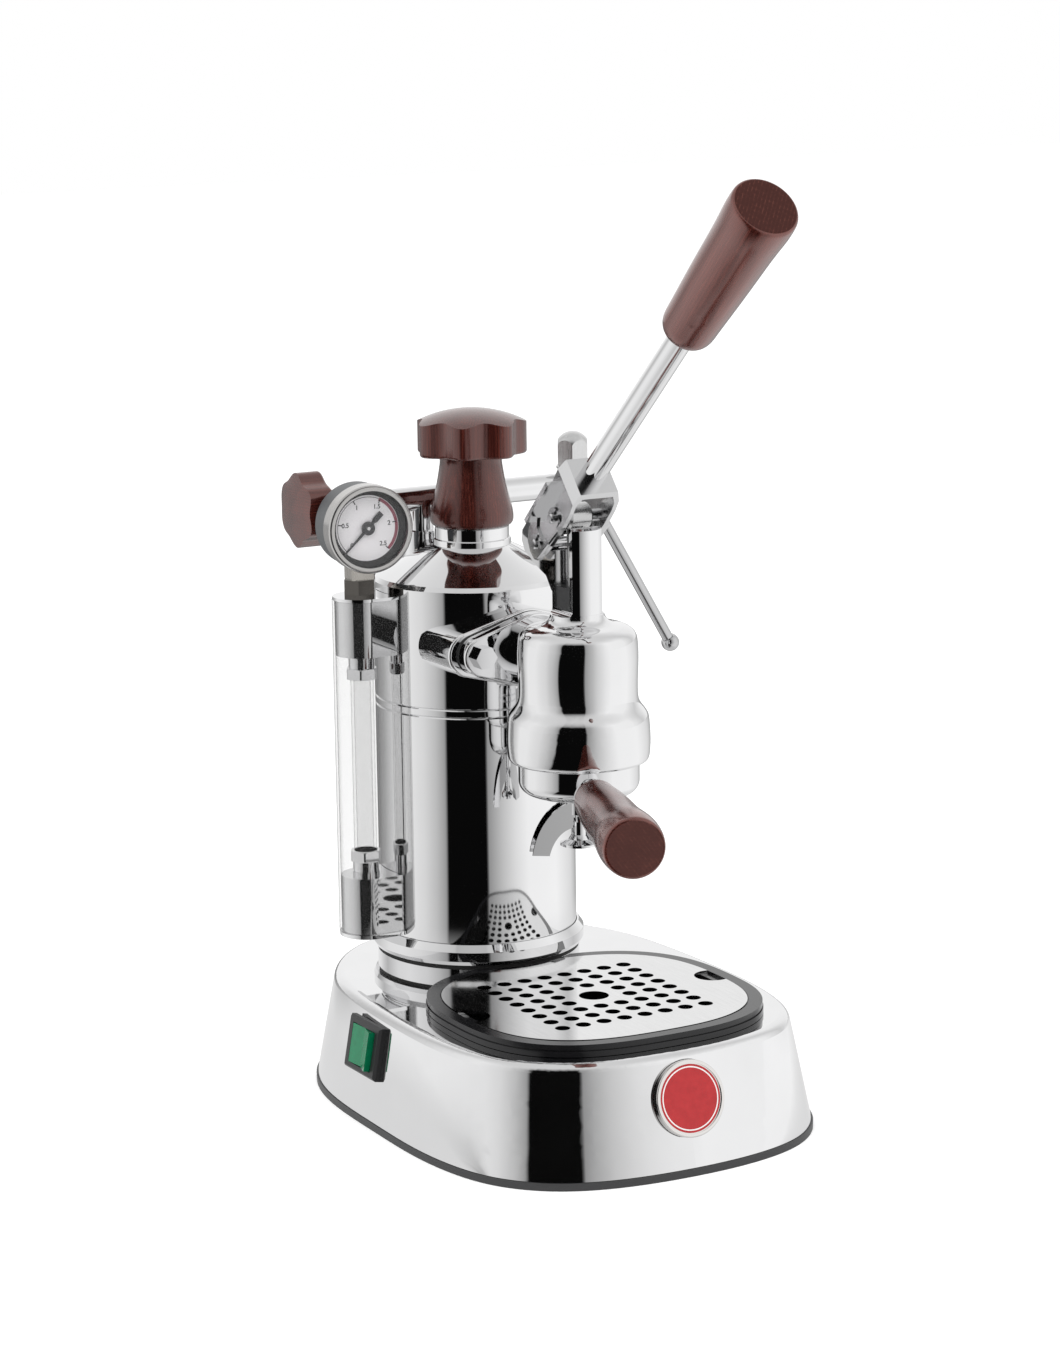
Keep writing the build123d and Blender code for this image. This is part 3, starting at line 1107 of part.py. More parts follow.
def sight_seals():
    seals = []
    for low in (SIGHT_TUBE_LOW_Z, SIGHT_TUBE_TOP_Z - SIGHT_SEAL_LENGTH):
        high = low + SIGHT_SEAL_LENGTH
        ring = rod_z(SIGHT_SEAL_RADIUS, low, high, SIGHT_X, 0)
        seals.append(ring - rod_z(SIGHT_TUBE_RADIUS, low, high, SIGHT_X, 0))
    return Compound(children=seals)


def sight_cover():
    outer = horseshoe(SIGHT_COVER_RADIUS, SIGHT_COVER_LOW_Z, SIGHT_COVER_TOP_Z)
    inner_radius = SIGHT_COVER_RADIUS - SIGHT_COVER_WALL
    inner = rod_z(inner_radius, SIGHT_COVER_LOW_Z, SIGHT_COVER_TOP_Z, SIGHT_X, 0)
    inner = inner + block(SIGHT_X, 0, -inner_radius, inner_radius, SIGHT_COVER_LOW_Z, SIGHT_COVER_TOP_Z)
    return outer - inner


# Pressure gauge

def gauge_place():
    turn = math.radians(GAUGE_TURN)
    face_out = (-math.sin(turn), -math.cos(turn), 0)
    return Plane((SIGHT_X, 0, GAUGE_Z), x_dir=(math.cos(turn), -math.sin(turn), 0),
                 z_dir=face_out).location


def gauge_case():
    can = rod_z(GAUGE_CASE_RADIUS, GAUGE_BACK, GAUGE_FRONT - BASE_WALL * 2)
    can = fillet(can.faces().sort_by(Axis.Z)[0].edges(), BASE_WALL)
    hollow = rod_z(GAUGE_CASE_RADIUS - GAUGE_CASE_WALL, GAUGE_BACK + GAUGE_CASE_WALL, GAUGE_FRONT)
    place = gauge_place()
    blank = place * can - gauge_stub(GAUGE_BEZEL_FIT)
    post = rod_z(GAUGE_POST_RADIUS, GAUGE_BACK + GAUGE_CASE_WALL, GAUGE_DIAL_FRONT - GAUGE_DIAL_THICKNESS)
    pin = rod_z(NEEDLE_PIN_RADIUS, GAUGE_BACK + GAUGE_CASE_WALL, NEEDLE_BACK + NEEDLE_HUB_HEIGHT)
    inner = hollow - post - pin
    return blank - place * inner


def gauge_stub(grow):
    high = GAUGE_Z - GAUGE_CASE_RADIUS + GAUGE_STUB_LENGTH
    return rod_z(GAUGE_STUB_RADIUS + grow, GAUGE_STEM_LOW_Z, high, SIGHT_X, 0)


def gauge_stem():
    stem = Box(GAUGE_STEM_HALF * 2, GAUGE_STEM_HALF * 2, GAUGE_STEM_HEIGHT)
    stem = chamfer(stem.edges().filter_by(Axis.Z), GAUGE_STEM_EDGE)
    stem = Pos(SIGHT_X, 0, GAUGE_STEM_LOW_Z + GAUGE_STEM_HEIGHT / 2) * Rot(0, 0, -GAUGE_TURN) * stem
    can = gauge_place() * rod_z(GAUGE_CASE_RADIUS + GAUGE_BEZEL_FIT, GAUGE_BACK - GAUGE_CASE_RADIUS,
                                GAUGE_FRONT)
    return stem - can + gauge_stub(0.0)


def gauge_bezel():
    ring = rod_z(GAUGE_RADIUS, GAUGE_FRONT - GAUGE_BEZEL_DEPTH, GAUGE_FRONT)
    ring = fillet(ring.faces().sort_by(Axis.Z)[-1].edges(), GAUGE_BEZEL_LIP)
    ring = ring - rod_z(GAUGE_BEZEL_OPENING, GAUGE_FRONT - GAUGE_BEZEL_DEPTH, GAUGE_FRONT)
    ring = ring - rod_z(GAUGE_CASE_RADIUS + GAUGE_BEZEL_FIT, GAUGE_FRONT - GAUGE_BEZEL_DEPTH,
                        GAUGE_GLASS_BACK + GAUGE_GLASS_THICKNESS)
    return gauge_place() * ring


def gauge_glass():
    return gauge_place() * rod_z(GAUGE_GLASS_RADIUS, GAUGE_GLASS_BACK,
                                 GAUGE_GLASS_BACK + GAUGE_GLASS_THICKNESS)


def gauge_dial():
    dial = rod_z(GAUGE_DIAL_RADIUS, GAUGE_DIAL_FRONT - GAUGE_DIAL_THICKNESS, GAUGE_DIAL_FRONT)
    dial = dial - rod_z(NEEDLE_PIN_RADIUS + NEEDLE_PIN_FIT, GAUGE_DIAL_FRONT - GAUGE_DIAL_THICKNESS,
                        GAUGE_DIAL_FRONT)
    return gauge_place() * dial


def gauge_needle():
    half = NEEDLE_WIDTH / 2
    tip = NEEDLE_TIP_WIDTH / 2
    paddle = NEEDLE_PADDLE_WIDTH / 2
    paddle_end = NEEDLE_PADDLE_LENGTH - NEEDLE_TAIL
    outline = ((-paddle, -NEEDLE_TAIL), (paddle, -NEEDLE_TAIL), (paddle, paddle_end),
               (half, paddle_end + half),
               (half, 0), (tip, NEEDLE_LENGTH), (-tip, NEEDLE_LENGTH), (-half, 0),
               (-half, paddle_end + half),
               (-paddle, paddle_end))
    blade = Pos(0, 0, NEEDLE_BACK) * extrude(polygon_face(outline), NEEDLE_THICKNESS)
    hub = rod_z(NEEDLE_HUB_RADIUS, NEEDLE_BACK, NEEDLE_BACK + NEEDLE_HUB_HEIGHT)
    bore = rod_z(NEEDLE_PIN_RADIUS + NEEDLE_PIN_FIT, NEEDLE_BACK, NEEDLE_BACK + NEEDLE_HUB_HEIGHT)
    return gauge_place() * Rot(0, 0, -NEEDLE_REST_ANGLE) * (blade + hub - bore)


def gauge_nut():
    return hexagon(GAUGE_NUT_FLATS, GAUGE_NUT_LOW_Z, GAUGE_STEM_LOW_Z, SIGHT_X, 0)


# Group

def group_rod(radius, low, high):
    return rod_z(radius, low, high, 0, GROUP_Y)


def wedge(radius, low, high, start, sweep_degrees):
    """A pie slice of a disc about the group axis."""
    count = WEDGE_STEP_COUNT
    rim = radius * WEDGE_RIM_SHARE
    points = [(0.0, 0.0)]
    for index in range(count + 1):
        angle = math.radians(start + sweep_degrees * index / count)
        points.append((rim * math.cos(angle), rim * math.sin(angle)))
    slice_blank = Pos(0, GROUP_Y, low) * extrude(polygon_face(points), high - low)
    return slice_blank & group_rod(radius, low, high)


def group_body():
    bell = Pos(0, GROUP_Y, 0) * turned_curve(GROUP_PROFILE[0][1], GROUP_PROFILE, GROUP_PROFILE[-1][1])
    column = group_rod(COLUMN_RADIUS, CHAMBER_TOP_Z, COLUMN_TOP_Z)
    column = chamfer(column.faces().sort_by(Axis.Z)[-1].edges(), COLUMN_TOP_EDGE)
    flange = two_lobes(FLANGE_FRONT_Y, FLANGE_BACK_Y, FLANGE_CENTRE_RADIUS, FLANGE_EAR_X,
                       FLANGE_EAR_RADIUS, PORT_Z)
    flange = fillet(flange.faces().sort_by(Axis.Y)[0].edges(), FLANGE_EDGE)
    neck = rod_y(FLANGE_NECK_RADIUS, GROUP_Y, FLANGE_BACK_Y, 0, PORT_Z)
    ear = ear_blank()
    body = bell + column + flange + neck + ear
    body = body - group_rod(GROUP_BORE_RADIUS, CHAMBER_TOP_Z, GROUP_BORE_TOP_Z)
    body = body - group_rod(CHAMBER_RADIUS, GROUP_PROFILE[0][1], CHAMBER_TOP_Z)
    lip = group_rod(CHAMBER_RADIUS, GROUP_PROFILE[0][1], LIP_TOP_Z) - group_rod(LIP_RADIUS,
                                                                                GROUP_PROFILE[0][1],
                                                                                LIP_TOP_Z)
    for index in range(LIP_COUNT):
        lip = lip - wedge(CHAMBER_RADIUS, GROUP_PROFILE[0][1], LIP_TOP_Z,
                          LIP_GAP_START + index * 360 / LIP_COUNT, LIP_GAP_DEGREES)
    body = body + lip
    body = body - group_rod(GUIDE_RADIUS, GUIDE_LOW_Z, GUIDE_TOP_Z)
    for side in (-1, 1):
        near = side * COLUMN_FLAT_X
        far = side * COLUMN_RADIUS * 2
        flat = block(min(near, far), max(near, far), GROUP_Y - COLUMN_RADIUS, GROUP_Y + COLUMN_RADIUS,
                     COLUMN_FLAT_LOW_Z, COLUMN_TOP_Z)
        low_edges = flat.edges().filter_by(Axis.Y).sort_by(Axis.Z)[:2]
        inner_edge = low_edges.sort_by(Axis.X)[0 if side > 0 else 1]
        body = body - fillet(inner_edge, COLUMN_FLAT_RUNOUT)
    body = body - column_slot(COLUMN_TOP_Z)
    body = body - ear_slot()
    body = body - rod_y(PORT_RADIUS, GROUP_Y + SLEEVE_RADIUS - BASE_WALL, FLANGE_BACK_Y, 0, PORT_Z)
    for side in (-1, 1):
        body = body - rod_y(BOLT_SHANK_RADIUS + BOLT_FIT, FLANGE_FRONT_Y, FLANGE_BACK_Y,
                            side * FLANGE_EAR_X, PORT_Z)
    return body


def column_slot(high):
    slot = block(-COLUMN_RADIUS, COLUMN_RADIUS, GROUP_Y - COLUMN_SLOT_HALF_Y, GROUP_Y + COLUMN_SLOT_HALF_Y,
                 COLUMN_SLOT_LOW_Z, high)
    return fillet(slot.edges().filter_by(Axis.X).sort_by(Axis.Z)[:2], COLUMN_TOP_EDGE)


def ear_blank():
    outline = Face(Wire.make_polygon([Vector(0, GROUP_Y + y, z) for y, z in EAR_OUTLINE], close=True))
    slab = extrude(outline, COLUMN_FLAT_X, both=True)
    return slab


def ear_slot():
    radius = EAR_SLOT_HALF_Z
    front = GROUP_Y + EAR_SLOT_FRONT
    back = GROUP_Y + EAR_SLOT_BACK
    slot = block(-COLUMN_RADIUS, COLUMN_RADIUS, front, back, EAR_Z - radius, EAR_Z + radius)
    ends = [rod_x(radius, -COLUMN_RADIUS, COLUMN_RADIUS, y, EAR_Z) for y in (front, back)]
    return slot + ends


def group_gasket():
    gasket = two_lobes(FLANGE_BACK_Y, PAD_FRONT_Y, FLANGE_CENTRE_RADIUS, FLANGE_EAR_X, FLANGE_EAR_RADIUS,
                       PORT_Z)
    gasket = gasket - rod_y(PORT_RADIUS, FLANGE_BACK_Y, PAD_FRONT_Y, 0, PORT_Z)
    for side in (-1, 1):
        gasket = gasket - rod_y(BOLT_SHANK_RADIUS + BOLT_FIT, FLANGE_BACK_Y, PAD_FRONT_Y,
                                side * FLANGE_EAR_X, PORT_Z)
    return gasket


def group_bolts():
    bolts = []
    for side in (-1, 1):
        x = side * FLANGE_EAR_X
        shank = rod_y(BOLT_SHANK_RADIUS, FLANGE_FRONT_Y, FLANGE_FRONT_Y + BOLT_DEPTH, x, PORT_Z)
        head = Pos(x, FLANGE_FRONT_Y, PORT_Z) * Rot(90, 0, 0) * extrude(
            RegularPolygon(BOLT_FLATS / 2, HEX_SIDE_COUNT, major_radius=False), BOLT_HEAD)
        bolts.append(shank + head)
    return Compound(children=bolts)


def ring_holes(radius, low, high):
    """Small round holes in rings about the group axis."""
    holes = []
    for order, ring in enumerate(HOLE_RING_RADII):
        count = max(order * HOLE_RING_STEP_COUNT, 1)
        for index in range(count):
            angle = 2 * math.pi * index / count
            x = ring * math.cos(angle)
            y = GROUP_Y + ring * math.sin(angle)
            holes.append(rod_z(radius, low, high, x, y))
    return holes


def group_sleeve():
    sleeve = group_rod(SLEEVE_RADIUS, CHAMBER_TOP_Z, GROUP_BORE_TOP_Z) - group_rod(
        SLEEVE_BORE_RADIUS, CHAMBER_TOP_Z, GROUP_BORE_TOP_Z)
    return sleeve - rod_y(SLEEVE_PORT_RADIUS, GROUP_Y, GROUP_Y + SLEEVE_RADIUS, 0, PORT_Z)


def shower_screen():
    plate = group_rod(SCREEN_RADIUS, SCREEN_LOW_Z, SCREEN_LOW_Z + SCREEN_THICKNESS)
    top = CHAMBER_TOP_Z + SCREEN_RIM / 2
    rim = group_rod(SCREEN_RADIUS, SCREEN_LOW_Z, top) - group_rod(SCREEN_RADIUS - SCREEN_THICKNESS,
                                                                  SCREEN_LOW_Z, top)
    return plate + rim - ring_holes(SCREEN_HOLE_RADIUS, SCREEN_LOW_Z, SCREEN_LOW_Z + SCREEN_THICKNESS)


def portafilter_gasket():
    return group_rod(PF_GASKET_RADIUS, PF_GASKET_LOW_Z, CHAMBER_TOP_Z) - group_rod(
        PF_GASKET_BORE, PF_GASKET_LOW_Z, CHAMBER_TOP_Z)


def rod_guide():
    half_x = COLUMN_FLAT_X - GUIDE_INSET
    inside = block(-half_x, half_x, GROUP_Y - COLUMN_RADIUS, GROUP_Y + COLUMN_RADIUS, COLUMN_SLOT_LOW_Z,
                   GUIDE_TOP_Z)
    guide = group_rod(GUIDE_RADIUS, GUIDE_LOW_Z, GUIDE_TOP_Z) + (column_slot(GUIDE_TOP_Z) & inside)
    return guide - group_rod(ROD_RADIUS + ROD_BORE_FIT, GUIDE_LOW_Z, GUIDE_TOP_Z)


# Piston

def piston_grooves():
    grooves = []
    for offset in PISTON_GROOVE_HEIGHTS:
        low = PISTON_LOW_Z + offset
        high = low + PISTON_GROOVE_HEIGHT
        grooves.append(group_rod(PISTON_RADIUS * 2, low,
                                 high) - group_rod(PISTON_RADIUS - PISTON_GROOVE_DEPTH, low, high))
    return grooves


def piston():
    top = PISTON_LOW_Z + PISTON_HEIGHT
    blank = group_rod(PISTON_RADIUS, PISTON_LOW_Z, top)
    return blank - piston_grooves() - group_rod(ROD_RADIUS, top - ROD_THREAD_DEPTH, top)


def piston_seals():
    seals = []
    for offset in PISTON_GROOVE_HEIGHTS:
        low = PISTON_LOW_Z + offset
        high = low + PISTON_GROOVE_HEIGHT
        seals.append(group_rod(SEAL_RADIUS, low,
                               high) - group_rod(PISTON_RADIUS - PISTON_GROOVE_DEPTH + SEAL_FIT, low,
                                                 high))
    return Compound(children=seals)


def piston_rod():
    low = PISTON_LOW_Z + PISTON_HEIGHT - ROD_THREAD_DEPTH
    rod = group_rod(ROD_RADIUS, low, ROD_PIN_Z)
    eye = rod_x(EYE_RADIUS, -EYE_HALF_X, EYE_HALF_X, GROUP_Y, ROD_PIN_Z)
    eye = chamfer(eye.edges().filter_by(GeomType.CIRCLE), COLUMN_TOP_EDGE)
    return rod + eye - rod_x(PIN_RADIUS, -EYE_HALF_X, EYE_HALF_X, GROUP_Y, ROD_PIN_Z)


# Lever

def lever_side():
    """Plane of the lever seen from the left side: along is X, rise is Y."""
    turn = math.radians(LEVER_ANGLE)
    return Plane((0, GROUP_Y, ROD_PIN_Z), x_dir=(0, -math.cos(turn), math.sin(turn)),
                 z_dir=(-1, 0, 0)).location


def lever_plan():
    """Plane of the lever seen square to its length: the cross axis is X, along is Y."""
    turn = math.radians(LEVER_ANGLE)
    return Plane((0, GROUP_Y, ROD_PIN_Z), x_dir=(1, 0, 0),
                 z_dir=(0, -math.sin(turn), -math.cos(turn))).location


def lever_bar(radius, start, end):
    """A round bar on the lever's axis."""
    turn = Rot(0, 90, 0)
    return lever_side() * Pos((start + end) / 2, AXIS_RISE, 0) * turn * Cylinder(radius, end - start)


def fork_strip(ends, out):
    (x0, y0), (x1, y1) = ends
    side = STRIP_THICKNESS / math.hypot(x1 - x0, y1 - y0)
    if (x1 - x0) * y0 < 0:
        side = -side
    shift_x = (y1 - y0) * side
    shift_y = -(x1 - x0) * side
    face = polygon_face(((x0, y0), (x1, y1), (x1 + shift_x, y1 + shift_y), (x0 + shift_x, y0 + shift_y)))
    full = extrude(face, TINE_OUTER_X + out, both=True)
    inner = extrude(face, TINE_INNER_X + STRIP_THICKNESS / 2, both=True)
    return full - inner


def lever_fork():
    profile = ((TINE_OUTER_X, TINE_END_ALONG), (TINE_OUTER_X, SHOULDER_ALONG), (WEB_HALF_X, WEB_ALONG),
               (-WEB_HALF_X, WEB_ALONG), (-TINE_OUTER_X, SHOULDER_ALONG), (-TINE_OUTER_X, TINE_END_ALONG),
               (-TINE_INNER_X, TINE_END_ALONG), (-TINE_INNER_X, SHOULDER_INNER_ALONG),
               (-WEB_INNER_HALF_X, WEB_ALONG - WEB_THICKNESS),
               (WEB_INNER_HALF_X, WEB_ALONG - WEB_THICKNESS),
               (TINE_INNER_X, SHOULDER_INNER_ALONG), (TINE_INNER_X, TINE_END_ALONG))
    strip = lever_plan() * extrude(polygon_face(profile), -TINE_END_ALONG, both=True)
    side = lever_side() * extrude(polygon_face(TINE_OUTLINE), TINE_OUTER_X, both=True)
    fork = strip & side
    fork = fork + lever_side() * fork_strip(REAR_STRIP, REAR_STRIP_OUT)
    fork = fork + lever_side() * fork_strip(FRONT_STRIP, FRONT_STRIP_OUT)
    panel = extrude(polygon_face(PANEL_OUTLINE), TINE_OUTER_X * 2, both=True)
    keep = extrude(polygon_face(PANEL_OUTLINE), TINE_OUTER_X - PANEL_DEPTH, both=True)
    fork = fork - lever_side() * (panel - keep)
    for along in (0, FULCRUM_ALONG):
        fork = fork - lever_side() * Pos(along, 0, 0) * Cylinder(PIN_RADIUS + PIN_FIT, TINE_OUTER_X * 2)
    return fork - lever_bar(LEVER_SPIGOT_RADIUS + LEVER_SPIGOT_FIT, WEB_ALONG - WEB_THICKNESS, WEB_ALONG)


def lever_pin(along):
    pin = Cylinder(PIN_RADIUS, PIN_HALF_LENGTH * 2)
    pin = chamfer(pin.edges().filter_by(GeomType.CIRCLE), PIN_EDGE)
    return lever_side() * Pos(along, 0, 0) * pin


def rod_pin():
    return lever_pin(0)


def fulcrum_pin():
    return lever_pin(FULCRUM_ALONG)


def lever_clips():
    clips = []
    outside = TINE_OUTER_X + CLIP_SIDE_GAP
    for along, x in ((0, outside - PANEL_DEPTH), (FULCRUM_ALONG, outside)):
        for side in (-1, 1):
            clip = Cylinder(CLIP_RADIUS, CLIP_THICKNESS) - Cylinder(CLIP_INNER_RADIUS, CLIP_THICKNESS)
            clip = clip - Pos(CLIP_RADIUS, 0, 0) * Box(CLIP_RADIUS * 2, CLIP_GAP_HALF * 2, CLIP_THICKNESS)
            clips.append(lever_side() * Pos(along, 0, side * (x + CLIP_THICKNESS / 2)) * clip)
    return Compound(children=clips)


def lever_rod():
    bar = lever_bar(LEVER_ROD_RADIUS, WEB_ALONG, HANDLE_START_ALONG)
    inner = WEB_ALONG - WEB_THICKNESS
    spigot = lever_bar(LEVER_SPIGOT_RADIUS, inner, WEB_ALONG)
    rivet = lever_bar(LEVER_RIVET_RADIUS, inner - LEVER_RIVET_HEIGHT, inner)
    tang = lever_bar(LEVER_TANG_RADIUS, HANDLE_START_ALONG, HANDLE_TANG_END_ALONG)
    return bar + spigot + rivet + tang


def turned_handle(start_z, profile, end_z, tang_radius, tang_end):
    """Wooden handle about Z with a bore for the metal tang."""
    blank = turned_curve(start_z, profile, end_z)
    return blank - rod_z(tang_radius + LEVER_SPIGOT_FIT, start_z, tang_end + HANDLE_CROWN)


def lever_handle():
    handle = turned_handle(HANDLE_START_ALONG, HANDLE_PROFILE, HANDLE_END_ALONG, LEVER_TANG_RADIUS,
                           HANDLE_TANG_END_ALONG)
    return lever_side() * Pos(0, AXIS_RISE, 0) * Rot(0, 90, 0) * handle


# Portafilter

def pf_place():
    return Pos(0, GROUP_Y, 0) * Rot(0, 0, -PF_TURN)


def pf_along():
    return pf_place() * Pos(0, 0, PF_AXIS_Z) * Rot(90, 0, 0)


def portafilter_ring():
    body = rod_z(PF_RING_RADIUS, PF_FLOOR_Z, PF_RIM_TOP_Z)
    body = fillet(body.faces().sort_by(Axis.Z)[0].edges(), PF_EDGE)
    inner = rod_z(PF_RING_BORE, PF_FLOOR_Z + PF_FLOOR, PF_RIM_TOP_Z)
    inner = fillet(inner.faces().sort_by(Axis.Z)[0].edges(), PF_EDGE - PF_FLOOR)
    lugs = []
    for index in range(LIP_COUNT):
        start = PF_LUG_START + index * 360 / LIP_COUNT
        lugs.append(Pos(0, -GROUP_Y, 0) * wedge(PF_LUG_RADIUS, PF_LUG_LOW_Z, PF_LUG_TOP_Z, start,
                                                PF_LUG_DEGREES))
    body = body + lugs - inner
    body = body - rod_z(PF_DRAIN_RADIUS, PF_FLOOR_Z, PF_FLOOR_Z + PF_FLOOR)
    socket = Pos(0, 0, PF_AXIS_Z) * Rot(90, 0, 0) * rod_z(FERRULE_ROOT_RADIUS, PF_RING_BORE,
                                                          PF_RING_RADIUS)
    return pf_place() * (body - socket)


def filter_basket():
    outer = turned([(0, BASKET_FLOOR_Z), (BASKET_FLOOR_RADIUS, BASKET_FLOOR_Z),
                    (BASKET_RADIUS, PF_RIM_TOP_Z),
                    (BASKET_RIM_RADIUS, PF_RIM_TOP_Z), (BASKET_RIM_RADIUS, BASKET_RIM_TOP_Z),
                    (0, BASKET_RIM_TOP_Z)])
    floor = BASKET_FLOOR_Z + BASKET_WALL
    inner = turned([(0, floor), (BASKET_FLOOR_RADIUS - BASKET_WALL, floor),
                    (BASKET_RADIUS - BASKET_WALL, BASKET_RIM_TOP_Z), (0, BASKET_RIM_TOP_Z)])
    holes = [Pos(0, -GROUP_Y, 0) * hole for hole in ring_holes(BASKET_HOLE_RADIUS, BASKET_FLOOR_Z, floor)]
    return pf_place() * (outer - inner - holes)


def spread(points, amount):
    """Move points of the spout outline away from its centre of curve."""
    moved = []
    for x, z in points:
        dx = x - SPOUT_CENTRE[0]
        dz = z - SPOUT_CENTRE[1]
        length = math.hypot(dx, dz)
        moved.append((x + amount * dx / length, z + amount * dz / length))
    return moved


def spout_face(inner_points, outer_points):
    outer = Spline(*[(x, 0, z) for x, z in outer_points])
    inner = Spline(*[(x, 0, z) for x, z in inner_points])
    tip = Line(outer @ 1, inner @ 0)
    root = Line(inner @ 1, outer @ 0)
    return Face(Wire([outer, tip, inner, root]))


def spout_arm():
    arm = extrude(spout_face(SPOUT_INNER_CURVE, SPOUT_OUTER_CURVE), SPOUT_HALF_WIDTH, both=True)
    groove_face = spout_face(spread(SPOUT_INNER_CURVE, SPOUT_FLOOR),
                             spread(SPOUT_OUTER_CURVE, SPOUT_GROOVE_LIFT))
    groove = extrude(groove_face, SPOUT_HALF_WIDTH - SPOUT_WALL, both=True)
    return arm - groove


def spout():
    hub = turned(SPOUT_HUB_PROFILE)
    arm = spout_arm()
    body = hub + arm + Rot(0, 0, 180) * arm
    body = body - rod_z(SPOUT_DRAIN_RADIUS, SPOUT_DRAIN_LOW_Z, PF_FLOOR_Z)
    outlet = SPOUT_DRAIN_LOW_Z + SPOUT_DRAIN_RADIUS
    reach = SPOUT_HUB_PROFILE[1][0]
    body = body - rod_x(SPOUT_DRAIN_RADIUS, -reach, reach, 0, outlet)
    return pf_place() * body


def portafilter_ferrule():
    cone = turned([(0, PF_RING_BORE), (FERRULE_ROOT_RADIUS, PF_RING_BORE),
                   (FERRULE_ROOT_RADIUS, FERRULE_STEP),
                   (FERRULE_WIDE_RADIUS, FERRULE_FLARE_END), (FERRULE_WIDE_RADIUS, FERRULE_END),
                   (0, FERRULE_END)])
    tang = rod_z(PF_HANDLE_TANG_RADIUS, FERRULE_END, PF_HANDLE_TANG_END)
    return pf_along() * (cone + tang)


def portafilter_handle():
    profile = [(radius, along) for along, radius in PF_HANDLE_PROFILE]
    start = PF_HANDLE_PROFILE[0][0]
    end = PF_HANDLE_PROFILE[-1][0]
    return pf_along() * turned_handle(start, profile, end, PF_HANDLE_TANG_RADIUS, PF_HANDLE_TANG_END)


# Files

save(base_shell(), "base_shell")
save(bottom_cover(), "bottom_cover")
save(base_screws(), "base_screws")
save(badge_disc(), "badge_disc")
save(switch_bezel(), "switch_bezel")
save(switch_rocker(), "switch_rocker")
save(power_inlet(), "power_inlet")
save(inlet_pins(), "inlet_pins")
save(base_gasket(), "base_gasket")
save(boiler_shell(), "boiler_shell")
save(boiler_ring(), "boiler_ring")
save(heating_element(), "heating_element")
save(thermostat(), "thermostat")
save(boiler_cap(), "boiler_cap")
save(cap_plug(), "cap_plug")
save(steam_valve_body(), "steam_valve_body")
save(steam_spindle(), "steam_spindle")
save(steam_knob(), "steam_knob")
save(steam_joint(), "steam_joint")
save(joint_nut(), "joint_nut")
save(steam_wand(), "steam_wand")
save(wand_tip(), "wand_tip")
save(sight_block_upper(), "sight_block_upper")
save(sight_block_lower(), "sight_block_lower")
save(sight_glass(), "sight_glass")
save(sight_seals(), "sight_seals")
save(gland_nuts(), "gland_nuts")
save(sight_cover(), "sight_cover")
save(gauge_nut(), "gauge_nut")
save(gauge_stem(), "gauge_stem")
save(gauge_case(), "gauge_case")
save(gauge_bezel(), "gauge_bezel")
save(gauge_dial(), "gauge_dial")
save(gauge_glass(), "gauge_glass")
save(gauge_needle(), "gauge_needle")
save(group_body(), "group_body")
save(group_gasket(), "group_gasket")
save(group_bolts(), "group_bolts")
save(group_sleeve(), "group_sleeve")
save(shower_screen(), "shower_screen")
save(portafilter_gasket(), "portafilter_gasket")
save(piston(), "piston")
save(piston_seals(), "piston_seals")
save(piston_rod(), "piston_rod")
save(rod_guide(), "rod_guide")
save(lever_fork(), "lever_fork")
save(lever_rod(), "lever_rod")
save(lever_handle(), "lever_handle")
save(rod_pin(), "rod_pin")
save(fulcrum_pin(), "fulcrum_pin")
save(lever_clips(), "lever_clips")
save(portafilter_ring(), "portafilter_ring")
save(filter_basket(), "filter_basket")
save(spout(), "spout")
save(portafilter_ferrule(), "portafilter_ferrule")
save(portafilter_handle(), "portafilter_handle")
save(drip_tray(), "drip_tray")
save(drip_grid(), "drip_grid")
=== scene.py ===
import math

import bpy
from mathutils import Matrix, Vector


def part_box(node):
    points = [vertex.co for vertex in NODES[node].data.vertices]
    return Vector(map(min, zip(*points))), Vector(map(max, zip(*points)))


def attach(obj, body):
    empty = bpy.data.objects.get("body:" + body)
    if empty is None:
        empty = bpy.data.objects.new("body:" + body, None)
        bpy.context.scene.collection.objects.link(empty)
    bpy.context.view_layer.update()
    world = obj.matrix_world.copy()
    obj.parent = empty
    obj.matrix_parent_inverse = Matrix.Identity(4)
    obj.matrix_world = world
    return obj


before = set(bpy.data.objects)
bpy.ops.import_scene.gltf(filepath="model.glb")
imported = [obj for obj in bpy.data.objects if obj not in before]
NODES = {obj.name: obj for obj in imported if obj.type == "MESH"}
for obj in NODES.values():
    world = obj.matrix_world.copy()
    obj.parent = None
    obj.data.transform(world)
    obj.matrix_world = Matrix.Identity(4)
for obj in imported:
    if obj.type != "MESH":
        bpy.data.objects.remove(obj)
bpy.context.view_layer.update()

MM = 0.001

# Values of the surfaces

NOISE_LOW = 0.3
NOISE_HIGH = 0.7
FINE_BUMP = 0.1 * MM
FIBRE_BUMP = 0.2 * MM

CLOUD_SCALE = 45.0
CLOUD_ROUGH_RANGE = (0.35, 0.75)
CHROME_SHADE = 0.02
CHROME_ROUGH_SPREAD = 0.025
STREAK_SCALE = 900.0
STREAK_SHADE = 0.93
PLASTIC_SHADE = 0.85

